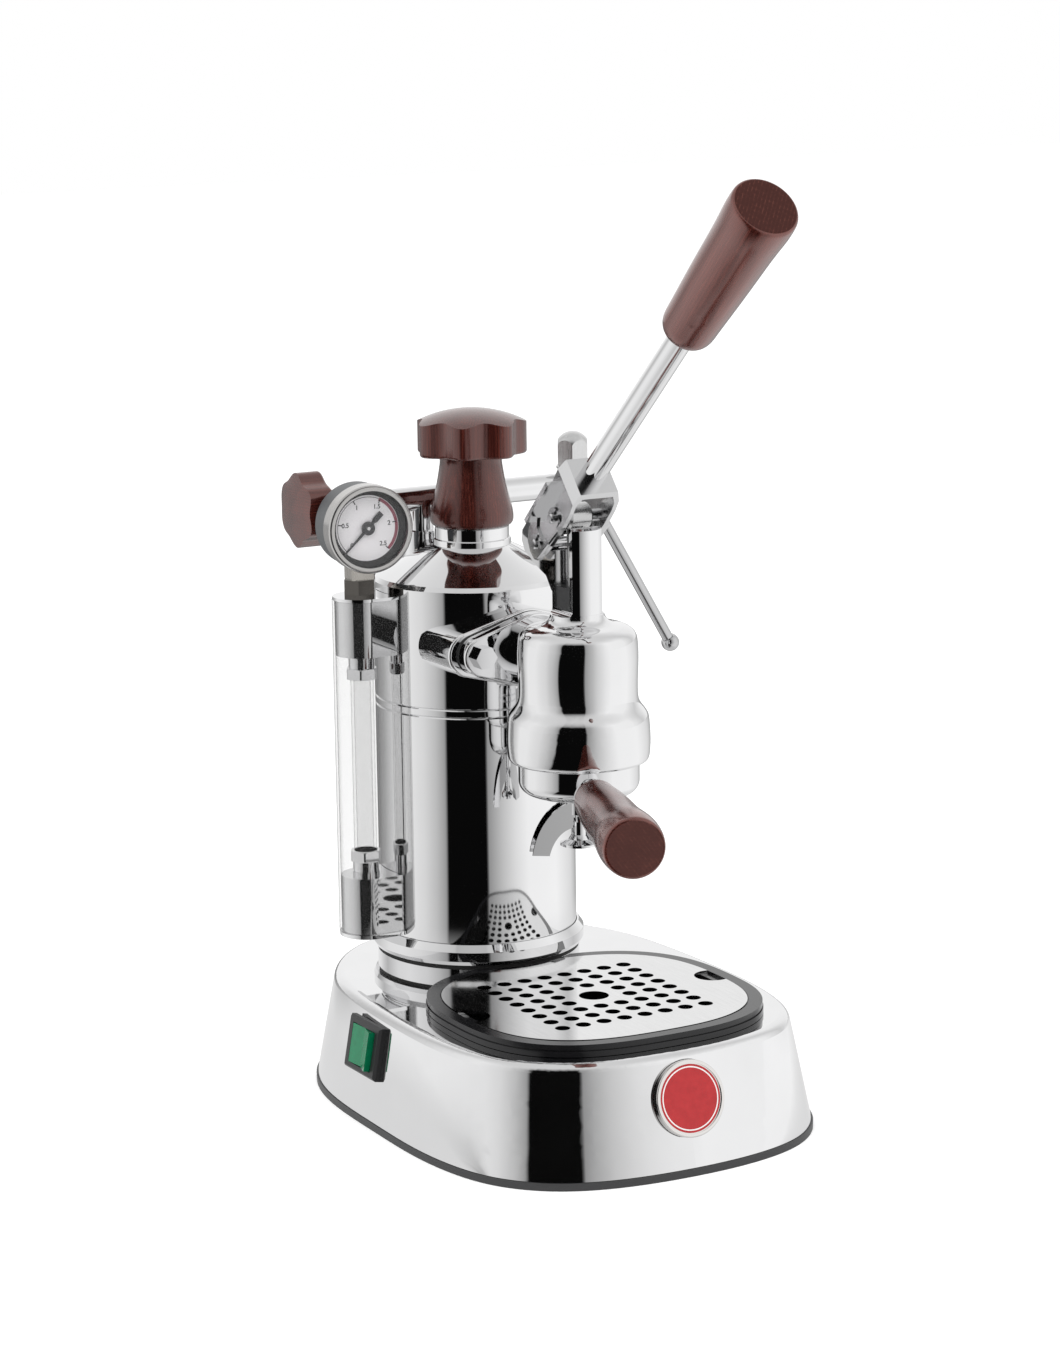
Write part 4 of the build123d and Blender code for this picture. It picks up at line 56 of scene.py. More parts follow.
LEVER_TILT = math.radians(41.5)
LEVER_AXIS = (0.0, -math.cos(LEVER_TILT), math.sin(LEVER_TILT))
PORTAFILTER_AXIS = (0.0, -1.0, 0.0)
SAWN_FACING = (0.90, 0.97)
BAND_SPACING_AT_SCALE_ONE = 0.314
RAY_TURN = 0.6
RAY_SPACING = 1.7 * MM
RAY_SHARPNESS = 0.55
PORE_TURN = 2.2
PORE_SPACING = 3.1 * MM
PORE_SHARPNESS = 0.7
PORE_STRENGTH = 0.6
LINE_BREAK_SCALE = 420.0
LINE_BREAK_RANGE = (0.38, 0.62)
FAINTEST_LINE = 0.2
RING_SCALE = 210.0
RING_SHARE = 0.10
FIBRE_SCALE = 1300.0
FIBRE_STRETCH = 0.03
FIBRE_SHARE = 0.50
FIGURE_SCALE = 150.0
FIGURE_STRETCH = 0.12
FIGURE_SHARE = 0.50
WOOD_SIDE_STOPS = (
    (0.36, (0.020, 0.0030, 0.0022)),
    (0.55, (0.042, 0.0074, 0.0052)),
    (0.74, (0.092, 0.0190, 0.0125)),
)
# Sawn end colours: darker end grain, darkened further as painted shade on the end faces.
WOOD_END_GRAIN_AND_SHADE_STOPS = (
    (0.0, (0.010, 0.0021, 0.0017)),
    (0.5, (0.017, 0.0040, 0.0031)),
    (1.0, (0.070, 0.0230, 0.0160)),
)
WOOD_ROUGH = (0.20, 0.30)
SAWN_ROUGH = 0.85
WOOD_COAT = 0.6
WOOD_COAT_ROUGH = 0.15
WOOD_COAT_IOR = 1.75
WOOD_SPECULAR = 0.9
WOOD_SHEEN_TINT = (1.0, 0.42, 0.36, 1)
HANDLE_IOR = 1.8
CAP_IOR = 1.45
KNOB_IOR = 1.55

BADGE_CENTRE = (0.0, -206.3 * MM, 35.5 * MM)
BADGE_RIM_RADIUS = 15.85 * MM
BADGE_RING_RADIUS = 14.55 * MM
BADGE_RING_HALF_WIDTH = 0.3 * MM
BADGE_RED = ((0.40, 0.012, 0.016), (0.47, 0.018, 0.022))
BADGE_WHITE = (0.86, 0.85, 0.84)
BADGE_EDGE = (0.8, 0.78, 0.76)

CLEAR_IOR = 1.49
CLEAR_EDGE_POWER = 5.0
CLEAR_EDGE_FACING = (0.72, 0.95)

# Shader helpers


def link(tree, a, b):
    tree.links.new(a, b)


def set_inputs(node, values):
    for name, value in values.items():
        node.inputs[name].default_value = value


def new_material(name):
    mat = bpy.data.materials.new(name)
    mat.use_nodes = True
    tree = mat.node_tree
    return mat, tree, tree.nodes["Principled BSDF"]


def mapped(tree, vector, scale=(1, 1, 1), rotation=(0, 0, 0), location=(0, 0, 0)):
    node = tree.nodes.new("ShaderNodeMapping")
    set_inputs(node, {"Scale": scale, "Rotation": rotation, "Location": location})
    link(tree, vector, node.inputs["Vector"])
    return node.outputs["Vector"]


def coords(tree, **place):
    tex = tree.nodes.new("ShaderNodeTexCoord")
    return mapped(tree, tex.outputs["Object"], **place)


def noise(tree, vector, scale, detail=2.0, rough=0.5, distortion=0.0):
    node = tree.nodes.new("ShaderNodeTexNoise")
    set_inputs(node, {"Scale": scale, "Detail": detail, "Roughness": rough, "Distortion": distortion})
    link(tree, vector, node.inputs["Vector"])
    return node.outputs["Fac"]


def wave(tree, vector, kind, scale, distortion, detail_scale):
    """Rings about Z or bands along X."""
    node = tree.nodes.new("ShaderNodeTexWave")
    node.wave_type = kind
    node.rings_direction = "Z"
    node.bands_direction = "X"
    set_inputs(node, {"Scale": scale, "Distortion": distortion, "Detail": 2.0, "Detail Scale": detail_scale})
    link(tree, vector, node.inputs["Vector"])
    return node.outputs["Fac"]


def remap(tree, value, low, high, out_low, out_high):
    node = tree.nodes.new("ShaderNodeMapRange")
    set_inputs(node, {"From Min": low, "From Max": high, "To Min": out_low, "To Max": out_high})
    link(tree, value, node.inputs["Value"])
    return node.outputs["Result"]


def spread(tree, value, out_low, out_high):
    """A noise's usual range, spread between two values."""
    return remap(tree, value, NOISE_LOW, NOISE_HIGH, out_low, out_high)


def ramp(tree, value, stops):
    node = tree.nodes.new("ShaderNodeValToRGB")
    elements = node.color_ramp.elements
    elements[0].position, elements[0].color = stops[0][0], (*stops[0][1], 1)
    elements[1].position, elements[1].color = stops[-1][0], (*stops[-1][1], 1)
    for position, color in stops[1:-1]:
        element = elements.new(position)
        element.color = (*color, 1)
    link(tree, value, node.inputs["Fac"])
    return node.outputs["Color"]


def two_tone(tree, value, dark, light):
    return ramp(tree, value, ((NOISE_LOW, dark), (NOISE_HIGH, light)))


def math_node(tree, operation, *values):
    node = tree.nodes.new("ShaderNodeMath")
    node.operation = operation
    for socket, value in zip(node.inputs, values):
        if isinstance(value, (int, float)):
            socket.default_value = value
        else:
            link(tree, value, socket)
    return node.outputs["Value"]


def mix_color(tree, factor, a, b):
    node = tree.nodes.new("ShaderNodeMix")
    node.data_type = "RGBA"
    sockets = (node.inputs["Factor"], node.inputs["A"], node.inputs["B"])
    for socket, value in zip(sockets, (factor, a, b)):
        if isinstance(value, tuple):
            socket.default_value = (*value, 1)
        else:
            link(tree, value, socket)
    return node.outputs["Result"]


def vector_node(tree, operation, vector, other=None):
    node = tree.nodes.new("ShaderNodeVectorMath")
    node.operation = operation
    link(tree, vector, node.inputs[0])
    if other is not None:
        node.inputs[1].default_value = other
    return node.outputs


def bump(tree, shader, height, strength, distance):
    node = tree.nodes.new("ShaderNodeBump")
    set_inputs(node, {"Strength": strength, "Distance": distance})
    link(tree, height, node.inputs["Height"])
    link(tree, node.outputs["Normal"], shader.inputs["Normal"])


# Materials


def chrome(name="chrome_plate", tone=0.84, rough=0.03):
    mat, tree, shader = new_material(name)
    cloud = noise(tree, coords(tree), CLOUD_SCALE, 3.0)
    dark = (tone - CHROME_SHADE, tone - CHROME_SHADE, tone - 0.75 * CHROME_SHADE)
    light = (tone, tone, tone + 0.25 * CHROME_SHADE)
    link(tree, two_tone(tree, cloud, dark, light), shader.inputs["Base Color"])
    uneven = remap(tree, cloud, *CLOUD_ROUGH_RANGE, rough, rough + CHROME_ROUGH_SPREAD)
    link(tree, uneven, shader.inputs["Roughness"])
    shader.inputs["Metallic"].default_value = 1.0
    return mat


def brushed(name, tone, rough, stretch, warm=(1.0, 1.0, 1.0)):
    mat, tree, shader = new_material(name)
    streak = noise(tree, coords(tree, scale=stretch), STREAK_SCALE, 2.0, 0.6)
    light = tuple(tone * c for c in warm)
    dark = tuple(c * STREAK_SHADE for c in light)
    link(tree, two_tone(tree, streak, dark, light), shader.inputs["Base Color"])
    link(tree, spread(tree, streak, rough * 0.8, rough * 1.25), shader.inputs["Roughness"])
    shader.inputs["Metallic"].default_value = 1.0
    return mat


def face_toward(tree, axis):
    """One where the surface faces along the axis, zero elsewhere."""
    tex = tree.nodes.new("ShaderNodeTexCoord")
    dot = vector_node(tree, "DOT_PRODUCT", tex.outputs["Normal"], axis)["Value"]
    return remap(tree, dot, *SAWN_FACING, 0.0, 1.0)


def saw_lines(tree, vector, turn, spacing, sharp):
    """Fine light lines on sawn end grain, broken up along their length."""
    turned = mapped(tree, vector, rotation=(0, 0, turn))
    bands = wave(tree, turned, "BANDS", BAND_SPACING_AT_SCALE_ONE / spacing, 1.6, 0.6)
    lines = remap(tree, bands, sharp, 1.0, 0.0, 1.0)
    patches = noise(tree, vector, LINE_BREAK_SCALE, 3.0, 0.7)
    broken = remap(tree, patches, *LINE_BREAK_RANGE, FAINTEST_LINE, 1.0)
    return math_node(tree, "MULTIPLY", lines, broken)


def end_grain_and_shade(tree, vector):
    rays = saw_lines(tree, vector, RAY_TURN, RAY_SPACING, RAY_SHARPNESS)
    pores = saw_lines(tree, vector, PORE_TURN, PORE_SPACING, PORE_SHARPNESS)
    lines = math_node(tree, "MAXIMUM", rays, math_node(tree, "MULTIPLY", pores, PORE_STRENGTH))
    # End-grain lines on a colour that painted shade makes darker still.
    return ramp(tree, lines, WOOD_END_GRAIN_AND_SHADE_STOPS)


def wood(name, rotation, heart, gloss, sawn_axis=None):
    """Varnished dark wood with its grain along Z of the turned space and its heart off the axis."""
    mat, tree, shader = new_material(name)
    vector = coords(tree, rotation=rotation, location=heart)
    rings = wave(tree, vector, "RINGS", RING_SCALE, 2.6, 0.25)
    fibre = noise(tree, mapped(tree, vector, scale=(1.0, 1.0, FIBRE_STRETCH)), FIBRE_SCALE, 3.0, 0.6)
    figure = noise(tree, mapped(tree, vector, scale=(1.0, 1.0, FIGURE_STRETCH)), FIGURE_SCALE, 3.0, 0.5, 0.6)
    fibre_part = math_node(tree, "MULTIPLY", fibre, FIBRE_SHARE)
    grain = math_node(tree, "MULTIPLY_ADD", rings, RING_SHARE, fibre_part)
    tone = math_node(tree, "MULTIPLY_ADD", figure, FIGURE_SHARE, grain)
    colour = ramp(tree, tone, WOOD_SIDE_STOPS)
    rough = spread(tree, fibre, *WOOD_ROUGH)
    shader.inputs["Coat Weight"].default_value = WOOD_COAT
    if sawn_axis is not None:
        sawn = face_toward(tree, sawn_axis)
        # Sawn ends take the end-grain colour, darkened further by painted shade.
        colour = mix_color(tree, sawn, colour, end_grain_and_shade(tree, vector))
        rough = math_node(tree, "MAXIMUM", rough, math_node(tree, "MULTIPLY", sawn, SAWN_ROUGH))
        link(tree, remap(tree, sawn, 0.0, 1.0, WOOD_COAT, 0.0), shader.inputs["Coat Weight"])
    link(tree, colour, shader.inputs["Base Color"])
    link(tree, rough, shader.inputs["Roughness"])
    shader.inputs["IOR"].default_value = gloss
    shader.inputs["Specular IOR Level"].default_value = WOOD_SPECULAR
    shader.inputs["Specular Tint"].default_value = WOOD_SHEEN_TINT
    shader.inputs["Coat Roughness"].default_value = WOOD_COAT_ROUGH
    shader.inputs["Coat IOR"].default_value = WOOD_COAT_IOR
    bump(tree, shader, fibre, 0.08, FIBRE_BUMP)
    return mat


def plastic(name, color, rough, grain=2200.0, bump_strength=0.06):
    mat, tree, shader = new_material(name)
    fine = noise(tree, coords(tree), grain, 2.0)
    dark = tuple(c * PLASTIC_SHADE for c in color)
    link(tree, two_tone(tree, fine, dark, color), shader.inputs["Base Color"])
    link(tree, spread(tree, fine, rough * 0.9, rough * 1.15), shader.inputs["Roughness"])
    bump(tree, shader, fine, bump_strength, FINE_BUMP)
    return mat


def clear(name, centre, edge, tone, painted_edge_shade):
    """Thin clear wall: nearly bare seen straight on, with a painted grey line along its edges standing in
    for the dark that refraction shows there.
    """
    mat, tree, shader = new_material(name)
    cloud = noise(tree, coords(tree), 30.0, 2.0)
    facing = tree.nodes.new("ShaderNodeLayerWeight")
    facing.inputs["Blend"].default_value = 0.5
    slant = facing.outputs["Facing"]
    body = two_tone(tree, cloud, (tone * 0.98,) * 3, (tone,) * 3)
    # Painted shade: the grey edge line stands in for the dark edge of a clear wall.
    painted_edge_mask = remap(tree, slant, *CLEAR_EDGE_FACING, 0.0, 1.0)
    link(tree, mix_color(tree, painted_edge_mask, body, (painted_edge_shade,) * 3), shader.inputs["Base Color"])
    thick = math_node(tree, "POWER", slant, CLEAR_EDGE_POWER)
    link(tree, remap(tree, thick, 0.0, 1.0, centre, edge), shader.inputs["Alpha"])
    link(tree, spread(tree, cloud, 0.02, 0.05), shader.inputs["Roughness"])
    shader.inputs["IOR"].default_value = CLEAR_IOR
    return mat


def lens(name, cover):
    mat, tree, shader = new_material(name)
    cloud = noise(tree, coords(tree), 12.0, 2.0)
    link(tree, two_tone(tree, cloud, (0.86, 0.87, 0.87), (0.9, 0.9, 0.9)), shader.inputs["Base Color"])
    shader.inputs["Roughness"].default_value = 0.03
    shader.inputs["Alpha"].default_value = cover
    return mat


def badge_enamel():
    """Red enamel with a thin white ring inside a bright metal edge."""
    mat, tree, shader = new_material("badge_enamel")
    vector = coords(tree)
    offset = vector_node(tree, "SUBTRACT", vector, BADGE_CENTRE)["Vector"]
    radius = vector_node(tree, "LENGTH", offset)["Value"]
    rim = math_node(tree, "GREATER_THAN", radius, BADGE_RIM_RADIUS)
    band = math_node(tree, "COMPARE", radius, BADGE_RING_RADIUS, BADGE_RING_HALF_WIDTH)
    enamel = two_tone(tree, noise(tree, vector, 260.0, 2.0), *BADGE_RED)
    ring = mix_color(tree, band, enamel, BADGE_WHITE)
    link(tree, mix_color(tree, rim, ring, BADGE_EDGE), shader.inputs["Base Color"])
    link(tree, rim, shader.inputs["Metallic"])
    shader.inputs["Roughness"].default_value = 0.16
    return mat


def gauge_case_grey():
    mat, tree, shader = new_material("gauge_case_grey")
    fine = noise(tree, coords(tree), 1800.0, 2.0)
    link(tree, two_tone(tree, fine, (0.085, 0.09, 0.095), (0.105, 0.11, 0.115)), shader.inputs["Base Color"])
    shader.inputs["Roughness"].default_value = 0.42
    bump(tree, shader, fine, 0.1, FINE_BUMP)
    return mat


STREAK_Z = (1.0, 1.0, 0.1)
GRAIN_UP = (0, 0, 0)
GRAIN_ALONG_LEVER = (LEVER_TILT - math.pi / 2, 0, 0)
GRAIN_FORWARD = (math.pi / 2, 0, 0)
GRAIN_SIDEWAYS = (0, math.pi / 2, 0)

MATERIALS = {
    "chrome": chrome(),
    # Satin copy of the chrome whose lower tone is painted shade for the dark the fork plates reflect.
    "fork": chrome("fork_plate_painted_dark", 0.70, 0.15),
    # Chrome with a lower tone, painted shade for the dark the polished tube reflects.
    "wand": chrome("wand_plate_painted_dark", 0.58, 0.07),
    "grid_steel": brushed("grid_steel", 0.78, 0.09, (1.0, 0.06, 1.0)),
    "steel": brushed("turned_steel", 0.62, 0.24, (1.0, 1.0, 0.08)),
    "bezel": brushed("bezel_steel", 0.62, 0.20, (0.05, 1.0, 1.0), warm=(1.0, 0.98, 0.96)),
    "nickel": brushed("satin_nickel", 0.72, 0.22, STREAK_Z),
    "warm_nickel": brushed("warm_nickel", 0.60, 0.25, STREAK_Z, warm=(1.0, 0.95, 0.88)),
    "dark_nickel": brushed("dark_nickel", 0.12, 0.14, STREAK_Z, warm=(1.0, 0.93, 0.85)),
    "brass": brushed("turned_brass", 0.5, 0.25, STREAK_Z),
    "wood_lever": wood("walnut_lever", GRAIN_ALONG_LEVER, (0.011, 0.03, 0.0), HANDLE_IOR, LEVER_AXIS),
    "wood_pf": wood("walnut_portafilter", GRAIN_FORWARD, (0.04, -0.153, 0.0), HANDLE_IOR, PORTAFILTER_AXIS),
    "wood_cap": wood("walnut_cap", GRAIN_UP, (0.02, 0.012, 0.0), CAP_IOR),
    "wood_knob": wood("walnut_knob", GRAIN_SIDEWAYS, (0.27, -0.015, 0.0), KNOB_IOR),
    "black": plastic("moulded_black", (0.018, 0.018, 0.019), 0.38),
    "tray": plastic("tray_black", (0.010, 0.010, 0.011), 0.16, 900.0, 0.03),
    "foot": plastic("foot_grey", (0.045, 0.045, 0.047), 0.45),
    "rubber": plastic("seal_rubber", (0.02, 0.02, 0.02), 0.6),
    "green": plastic("rocker_green", (0.004, 0.20, 0.085), 0.12, 300.0, 0.02),
    "dial": plastic("dial_white", (0.84, 0.82, 0.84), 0.45, 3000.0, 0.0),
    "ink": plastic("dial_ink", (0.012, 0.012, 0.016), 0.6),
    "red_ink": plastic("dial_red", (0.27, 0.055, 0.085), 0.6),
    # Also colours the two dark lines on the bezel; the outer one is painted groove shade.
    "needle": plastic("needle_grey_and_groove_shade", (0.022, 0.022, 0.026), 0.45),
    # Near-black surround: painted shadow inside the bezel.
    "surround": plastic("surround_painted_shadow", (0.006, 0.006, 0.007), 0.7),
    "case": gauge_case_grey(),
    # Clear walls with a painted grey edge line standing in for the dark edges of refraction.
    "glass": clear("sight_glass_clear", 0.065, 0.75, 0.14, 0.12),
    "cover": clear("cover_acrylic", 0.08, 0.84, 0.12, 0.10),
    "lens": lens("gauge_glass_clear", 0.035),
    "badge": badge_enamel(),
}

USES = {
    "chrome": "base_shell boiler_shell boiler_ring steam_valve_body steam_joint sight_block_upper "
              "sight_block_lower gland_nuts group_body group_bolts lever_rod portafilter_ring spout "
              "portafilter_ferrule",
    "fork": "lever_fork rod_pin fulcrum_pin lever_clips",
    "wand": "steam_wand wand_tip",
    "grid_steel": "drip_grid",
    "steel": "base_screws heating_element group_sleeve shower_screen inlet_pins piston_rod steam_spindle "
             "filter_basket",
    "bezel": "gauge_bezel",
    "nickel": "joint_nut",
    "warm_nickel": "gauge_stem",
    "dark_nickel": "gauge_nut",
    "brass": "piston cap_plug",
    "wood_lever": "lever_handle",
    "wood_pf": "portafilter_handle",
    "wood_cap": "boiler_cap",
    "wood_knob": "steam_knob",
    "black": "rod_guide thermostat power_inlet switch_bezel",
    "tray": "drip_tray",
    "foot": "bottom_cover",
    "rubber": "base_gasket group_gasket portafilter_gasket sight_seals piston_seals",
    "green": "switch_rocker",
    "dial": "gauge_dial",
    "needle": "gauge_needle",
    "case": "gauge_case",
    "glass": "sight_glass",
    "cover": "sight_cover",
    "lens": "gauge_glass",
    "badge": "badge_disc",
}


def dress_nodes():
    for key, names in USES.items():
        for node_name in names.split():
            node = NODES[node_name]
            if not node.material_slots:
                node.data.materials.append(MATERIALS[key])
            for slot in node.material_slots:
                slot.material = MATERIALS[key]


dress_nodes()

# Dial print and gauge trim, with a painted shadow ring inside the bezel and a painted groove-shade line on
# it; radii and heights in millimetres from the face of the dial

GAUGE_TURN = math.radians(6.0)
DIAL_HALF = 0.4 * MM
SCALE_START = -135
SCALE_STEP = 54
SCALE_NUMBERS = ("0", "0.5", "1", "1.5", "2", "2.5")
RED_START = 24
RED_END = SCALE_START + SCALE_STEP * (len(SCALE_NUMBERS) - 1)
ARC_STEP_DEGREES = 4
PRINT_HEIGHT = 0.04 * MM
RED_BAND = (14.3, 15.9)
SCALE_LINE = (15.1, 15.35)
TICK_SPAN = (13.2, 15.3)
TICK_HALF_WIDTH = 0.26
NUMBER_RADIUS = 11.4
NUMBER_SIZE = 3.1
NUMBER_BOLDNESS = 0.07
TURNED_STEPS = 96
# The surround is the inner wall between dial and bezel; its near-black colour is painted shadow.
SHADOW_RING_PROFILE = ((16.1, 0.05), (18.5, 3.4), (18.9, 3.4), (18.9, 0.05))
# The outer dark line is painted shade standing in for the bezel's groove.
OUTER_GROOVE_SHADE_PROFILE = ((20.80, 5.7), (21.02, 5.7), (21.02, 6.0), (20.80, 6.1))
INNER_LINE_PROFILE = ((18.62, 6.1), (18.86, 6.1), (18.86, 6.23), (18.62, 6.23))
NEEDLE_SCREW_PROFILE = ((0.03, 2.1), (1.0, 2.1), (0.85, 2.35), (0.03, 2.4))


def gauge_matrix():
    """Origin on the middle of the dial's face, Z out of it, Y up."""
    low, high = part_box("gauge_dial")
    turn_x = Vector((math.cos(GAUGE_TURN), -math.sin(GAUGE_TURN), 0))
    out = Vector((-math.sin(GAUGE_TURN), -math.cos(GAUGE_TURN), 0))
    centre = (low + high) / 2 + out * DIAL_HALF
    return Matrix((
        (turn_x.x, 0, out.x, centre.x),
        (turn_x.y, 0, out.y, centre.y),
        (0, 1, 0, centre.z),
        (0, 0, 0, 1)))


def clock_direction(degrees):
    """Clock angle counted from the top, clockwise."""
    angle = math.radians(degrees)
    return Vector((math.sin(angle), math.cos(angle), 0))


def loop_faces(a, b, size):
    """Quads that join two loops of vertices, each with its corners in a row."""
    return [(a + k, b + k, b + (k + 1) % size, a + (k + 1) % size) for k in range(size)]


def add_on_gauge(name, data, material, body, place=None):
    data.materials.append(MATERIALS[material])
    obj = bpy.data.objects.new(name, data)
    bpy.context.scene.collection.objects.link(obj)
    obj.matrix_world = gauge_matrix() if place is None else gauge_matrix() @ place
    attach(obj, body)


def add_mesh(name, verts, faces, material, body):
    mesh = bpy.data.meshes.new(name)
    mesh.from_pydata(verts, [], faces)
    add_on_gauge(name, mesh, material, body)


def add_arc(name, radii, start, end, material):
    """A flat band between two clock angles."""
    inner, outer = (radius * MM for radius in radii)
    count = int(abs(end - start) / ARC_STEP_DEGREES) + 1
    verts, faces = [], []
    for index in range(count):
        along = clock_direction(start + (end - start) * index / (count - 1))
        for radius, z in ((inner, 0.0), (outer, 0.0), (outer, PRINT_HEIGHT), (inner, PRINT_HEIGHT)):
            verts.append((radius * along.x, radius * along.y, z))
    for index in range(count - 1):
        faces.extend(loop_faces(index * 4, index * 4 + 4, 4))
    last = (count - 1) * 4
    faces.append((0, 1, 2, 3))
    faces.append((last + 3, last + 2, last + 1, last))
    add_mesh(name, verts, faces, material, "machine")


def add_ticks():
    verts, faces = [], []
    for index in range(len(SCALE_NUMBERS)):
        along = clock_direction(SCALE_START + SCALE_STEP * index)
        across = Vector((along.y, -along.x, 0)) * TICK_HALF_WIDTH * MM
        near, far = (along * radius * MM for radius in TICK_SPAN)
        base = len(verts)
        for z in (0.0, PRINT_HEIGHT * 1.5):
            for corner in (near - across, near + across, far + across, far - across):
                verts.append((corner.x, corner.y, z))
        faces.append((base + 4, base + 5, base + 6, base + 7))
        faces.append((base + 3, base + 2, base + 1, base))
        for k in range(4):
            n = (k + 1) % 4
            faces.append((base + k, base + n, base + 4 + n, base + 4 + k))
    add_mesh("dial_ticks", verts, faces, "ink", "machine")


def add_numbers():
    for index, text in enumerate(SCALE_NUMBERS):
        name = "dial_number_" + str(index)
        curve = bpy.data.curves.new(name, "FONT")
        curve.body = text
        curve.size = NUMBER_SIZE * MM
        curve.offset = NUMBER_BOLDNESS * MM
        curve.extrude = PRINT_HEIGHT / 2
        curve.align_x = "CENTER"
        curve.align_y = "CENTER"
        middle = clock_direction(SCALE_START + SCALE_STEP * index) * NUMBER_RADIUS * MM
        place = Matrix.Translation((middle.x, middle.y, PRINT_HEIGHT / 2))
        add_on_gauge(name, curve, "ink", "machine", place)


def add_turned(name, profile, material, body):
    """A closed profile of (radius, height) points, turned about the gauge's axis."""
    verts, faces = [], []
    for index in range(TURNED_STEPS):
        angle = 2 * math.pi * index / TURNED_STEPS
        for radius, z in profile:
            verts.append((radius * MM * math.cos(angle), radius * MM * math.sin(angle), z * MM))
    size = len(profile)
    for index in range(TURNED_STEPS):
        faces.extend(loop_faces(index * size, (index + 1) % TURNED_STEPS * size, size))
    add_mesh(name, verts, faces, material, body)


def add_dial():
    add_arc("dial_red_band", RED_BAND, RED_START, RED_END, "red_ink")
    add_arc("dial_scale_line", SCALE_LINE, SCALE_START, RED_START, "ink")
    add_ticks()
    add_numbers()
    # Inner wall in near-black, painted shadow inside the bezel.
    add_turned("dial_shadow_ring", SHADOW_RING_PROFILE, "surround", "machine")
    # Dark ring painted as the shade in the bezel's groove.
    add_turned("bezel_groove_shade_outer", OUTER_GROOVE_SHADE_PROFILE, "needle", "machine")
    add_turned("bezel_line_inner", INNER_LINE_PROFILE, "needle", "machine")
    add_turned("needle_screw", NEEDLE_SCREW_PROFILE, "nickel", "needle")


add_dial()

# Floor, light and camera, in metres

PHOTO_TURN = math.radians(28.5)
FRONT_STOPS = (
    (-85, 0.95), (-60, 0.80), (-45, 0.60), (-34, 0.38), (-31, 0.003),
    (12, 0.003), (14, 0.33), (30, 0.62), (45, 0.85), (60, 1.02),
)
FLOOR_STOPS = (
    (-180, 0.24), (-150, 0.30), (-128, 0.52), (-105, 0.95),
    *FRONT_STOPS,
    (100, 1.05), (135, 0.80), (160, 0.40), (180, 0.24),
)
BACKDROP_STOPS = (
    (-180, 1.0), (-150, 0.95), (-128, 0.60), (-105, 0.90),
    *FRONT_STOPS,
    (100, 1.0), (128, 0.70), (150, 0.95), (180, 1.0),
)
BLACK = (0.0, 0.0, 0.0)
WHITE = (1.0, 1.0, 1.0)

FLOOR_HALF = 6.0
FLOOR_TONE = (0.90, 0.90, 0.90)
FLOOR_GLOW = 0.30
NEAR_FLOOR_TONE = (0.80, 0.80, 0.80)
NEAR_FLOOR_REACH = (0.20, 0.34)

WORLD_TONE = (0.92, 0.92, 0.92)
CEILING_TONE = (0.72, 0.72, 0.72)
CEILING_RISE = (0.55, 0.9)

LAMP_TARGET = (0, -0.06, 0.2)
LAMP_SIZE = 1.4
LAMPS = (
    ("softbox_left", (-1.6, -0.9, 1.7), 16),
    ("softbox_right", (1.5, -1.2, 1.5), 10),
)

CAMERA_PLACE = (-0.83707, -1.59869, 0.56673)
CAMERA_YAW = math.radians(28.516)
CAMERA_PITCH = math.radians(11.707)
CAMERA_ROLL = math.radians(0.766)
CAMERA_SENSOR = 36.0
CAMERA_LENS = 96.885
CAMERA_CLIP_START = 0.01


def split_axes(tree, vector):
    node = tree.nodes.new("ShaderNodeSeparateXYZ")
    link(tree, vector, node.inputs["Vector"])
    return node.outputs


def reach_along(tree, axes, x, y):
    along_x = math_node(tree, "MULTIPLY", axes["X"], x)
    along_y = math_node(tree, "MULTIPLY", axes["Y"], y)
    return math_node(tree, "ADD", along_x, along_y)


def studio_ring(tree, axes, stops):
    """Soft boxes and one dark flag round the object, by direction about its upright axis."""
    ahead = reach_along(tree, axes, -math.sin(PHOTO_TURN), -math.cos(PHOTO_TURN))
    aside = reach_along(tree, axes, math.cos(PHOTO_TURN), -math.sin(PHOTO_TURN))
    turn = math_node(tree, "ARCTAN2", aside, ahead)
    share = remap(tree, turn, -math.pi, math.pi, 0.0, 1.0)
    return ramp(tree, share, [((angle + 180) / 360, (value,) * 3) for angle, value in stops])


def seen_by_camera(tree, path):
    """One for a ray from the camera, also after it has passed through something clear."""
    return math_node(tree, "MAXIMUM", path.outputs["Is Camera Ray"], path.outputs["Is Transmission Ray"])


def add_floor():
    corners = ((-1, -1), (1, -1), (1, 1), (-1, 1))
    mesh = bpy.data.meshes.new("floor")
    mesh.from_pydata([(x * FLOOR_HALF, y * FLOOR_HALF, 0) for x, y in corners], [], [(0, 1, 2, 3)])
    floor = bpy.data.objects.new("floor", mesh)
    bpy.context.scene.collection.objects.link(floor)
    mat, tree, shader = new_material("floor_pale")
    tex = tree.nodes.new("ShaderNodeTexCoord")
    path = tree.nodes.new("ShaderNodeLightPath")
    ring = studio_ring(tree, split_axes(tree, tex.outputs["Object"]), FLOOR_STOPS)
    reach = vector_node(tree, "LENGTH", tex.outputs["Object"])["Value"]
    far = remap(tree, reach, *NEAR_FLOOR_REACH, 0.0, 1.0)
    reflected = mix_color(tree, far, NEAR_FLOOR_TONE, ring)
    glossy = path.outputs["Is Glossy Ray"]
    link(tree, mix_color(tree, glossy, FLOOR_TONE, BLACK), shader.inputs["Base Color"])
    link(tree, mix_color(tree, glossy, WHITE, reflected), shader.inputs["Emission Color"])
    seen = math_node(tree, "MULTIPLY", seen_by_camera(tree, path), FLOOR_GLOW)
    link(tree, math_node(tree, "MAXIMUM", seen, glossy), shader.inputs["Emission Strength"])
    shader.inputs["Roughness"].default_value = 1.0
    shader.inputs["Specular IOR Level"].default_value = 0.0
    mesh.materials.append(mat)


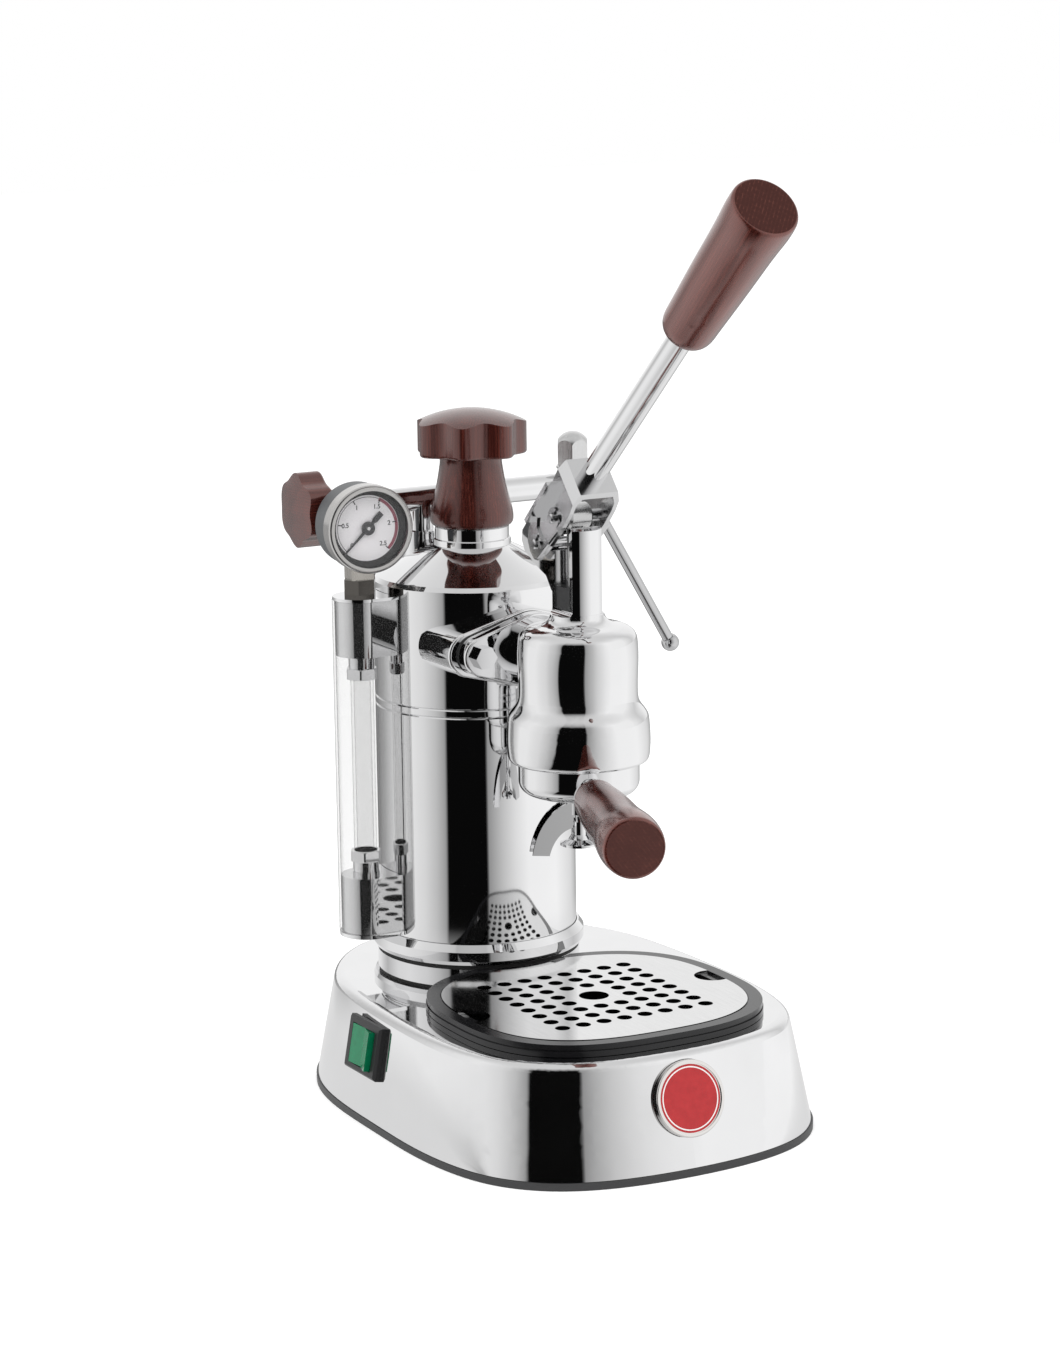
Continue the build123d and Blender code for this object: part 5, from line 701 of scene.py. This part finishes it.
def add_world():
    world = bpy.data.worlds.new("studio")
    bpy.context.scene.world = world
    world.use_nodes = True
    tree = world.node_tree
    background = tree.nodes["Background"]
    tex = tree.nodes.new("ShaderNodeTexCoord")
    axes = split_axes(tree, tex.outputs["Generated"])
    ring = studio_ring(tree, axes, BACKDROP_STOPS)
    high = remap(tree, axes["Z"], *CEILING_RISE, 0.0, 1.0)
    reflected = mix_color(tree, high, ring, CEILING_TONE)
    path = tree.nodes.new("ShaderNodeLightPath")
    lit = mix_color(tree, path.outputs["Is Glossy Ray"], WORLD_TONE, reflected)
    link(tree, mix_color(tree, seen_by_camera(tree, path), lit, WHITE), background.inputs["Color"])
    background.inputs["Strength"].default_value = 1.0


def add_lamp(name, place, power):
    lamp = bpy.data.lights.new(name, "AREA")
    lamp.shape = "SQUARE"
    lamp.size = LAMP_SIZE
    lamp.energy = power
    obj = bpy.data.objects.new(name, lamp)
    obj.location = place
    obj.rotation_euler = (Vector(LAMP_TARGET) - Vector(place)).to_track_quat("-Z", "Y").to_euler()
    obj.visible_glossy = False
    bpy.context.scene.collection.objects.link(obj)


def add_camera():
    level = math.cos(CAMERA_PITCH)
    forward = Vector((math.sin(CAMERA_YAW) * level, math.cos(CAMERA_YAW) * level, -math.sin(CAMERA_PITCH)))
    right = Vector((math.cos(CAMERA_YAW), -math.sin(CAMERA_YAW), 0))
    down = forward.cross(right)
    across = math.cos(CAMERA_ROLL) * right + math.sin(CAMERA_ROLL) * down
    below = -math.sin(CAMERA_ROLL) * right + math.cos(CAMERA_ROLL) * down
    camera = bpy.data.cameras.new("camera")
    camera.sensor_fit = "AUTO"
    camera.sensor_width = CAMERA_SENSOR
    camera.lens = CAMERA_LENS
    camera.clip_start = CAMERA_CLIP_START
    obj = bpy.data.objects.new("camera", camera)
    obj.matrix_world = Matrix((
        (across.x, -below.x, -forward.x, CAMERA_PLACE[0]),
        (across.y, -below.y, -forward.y, CAMERA_PLACE[1]),
        (across.z, -below.z, -forward.z, CAMERA_PLACE[2]),
        (0, 0, 0, 1)))
    bpy.context.scene.collection.objects.link(obj)
    bpy.context.scene.camera = obj


add_floor()
add_world()
for lamp_name, lamp_place, lamp_power in LAMPS:
    add_lamp(lamp_name, lamp_place, lamp_power)
add_camera()
bpy.context.scene.view_settings.view_transform = "Standard"
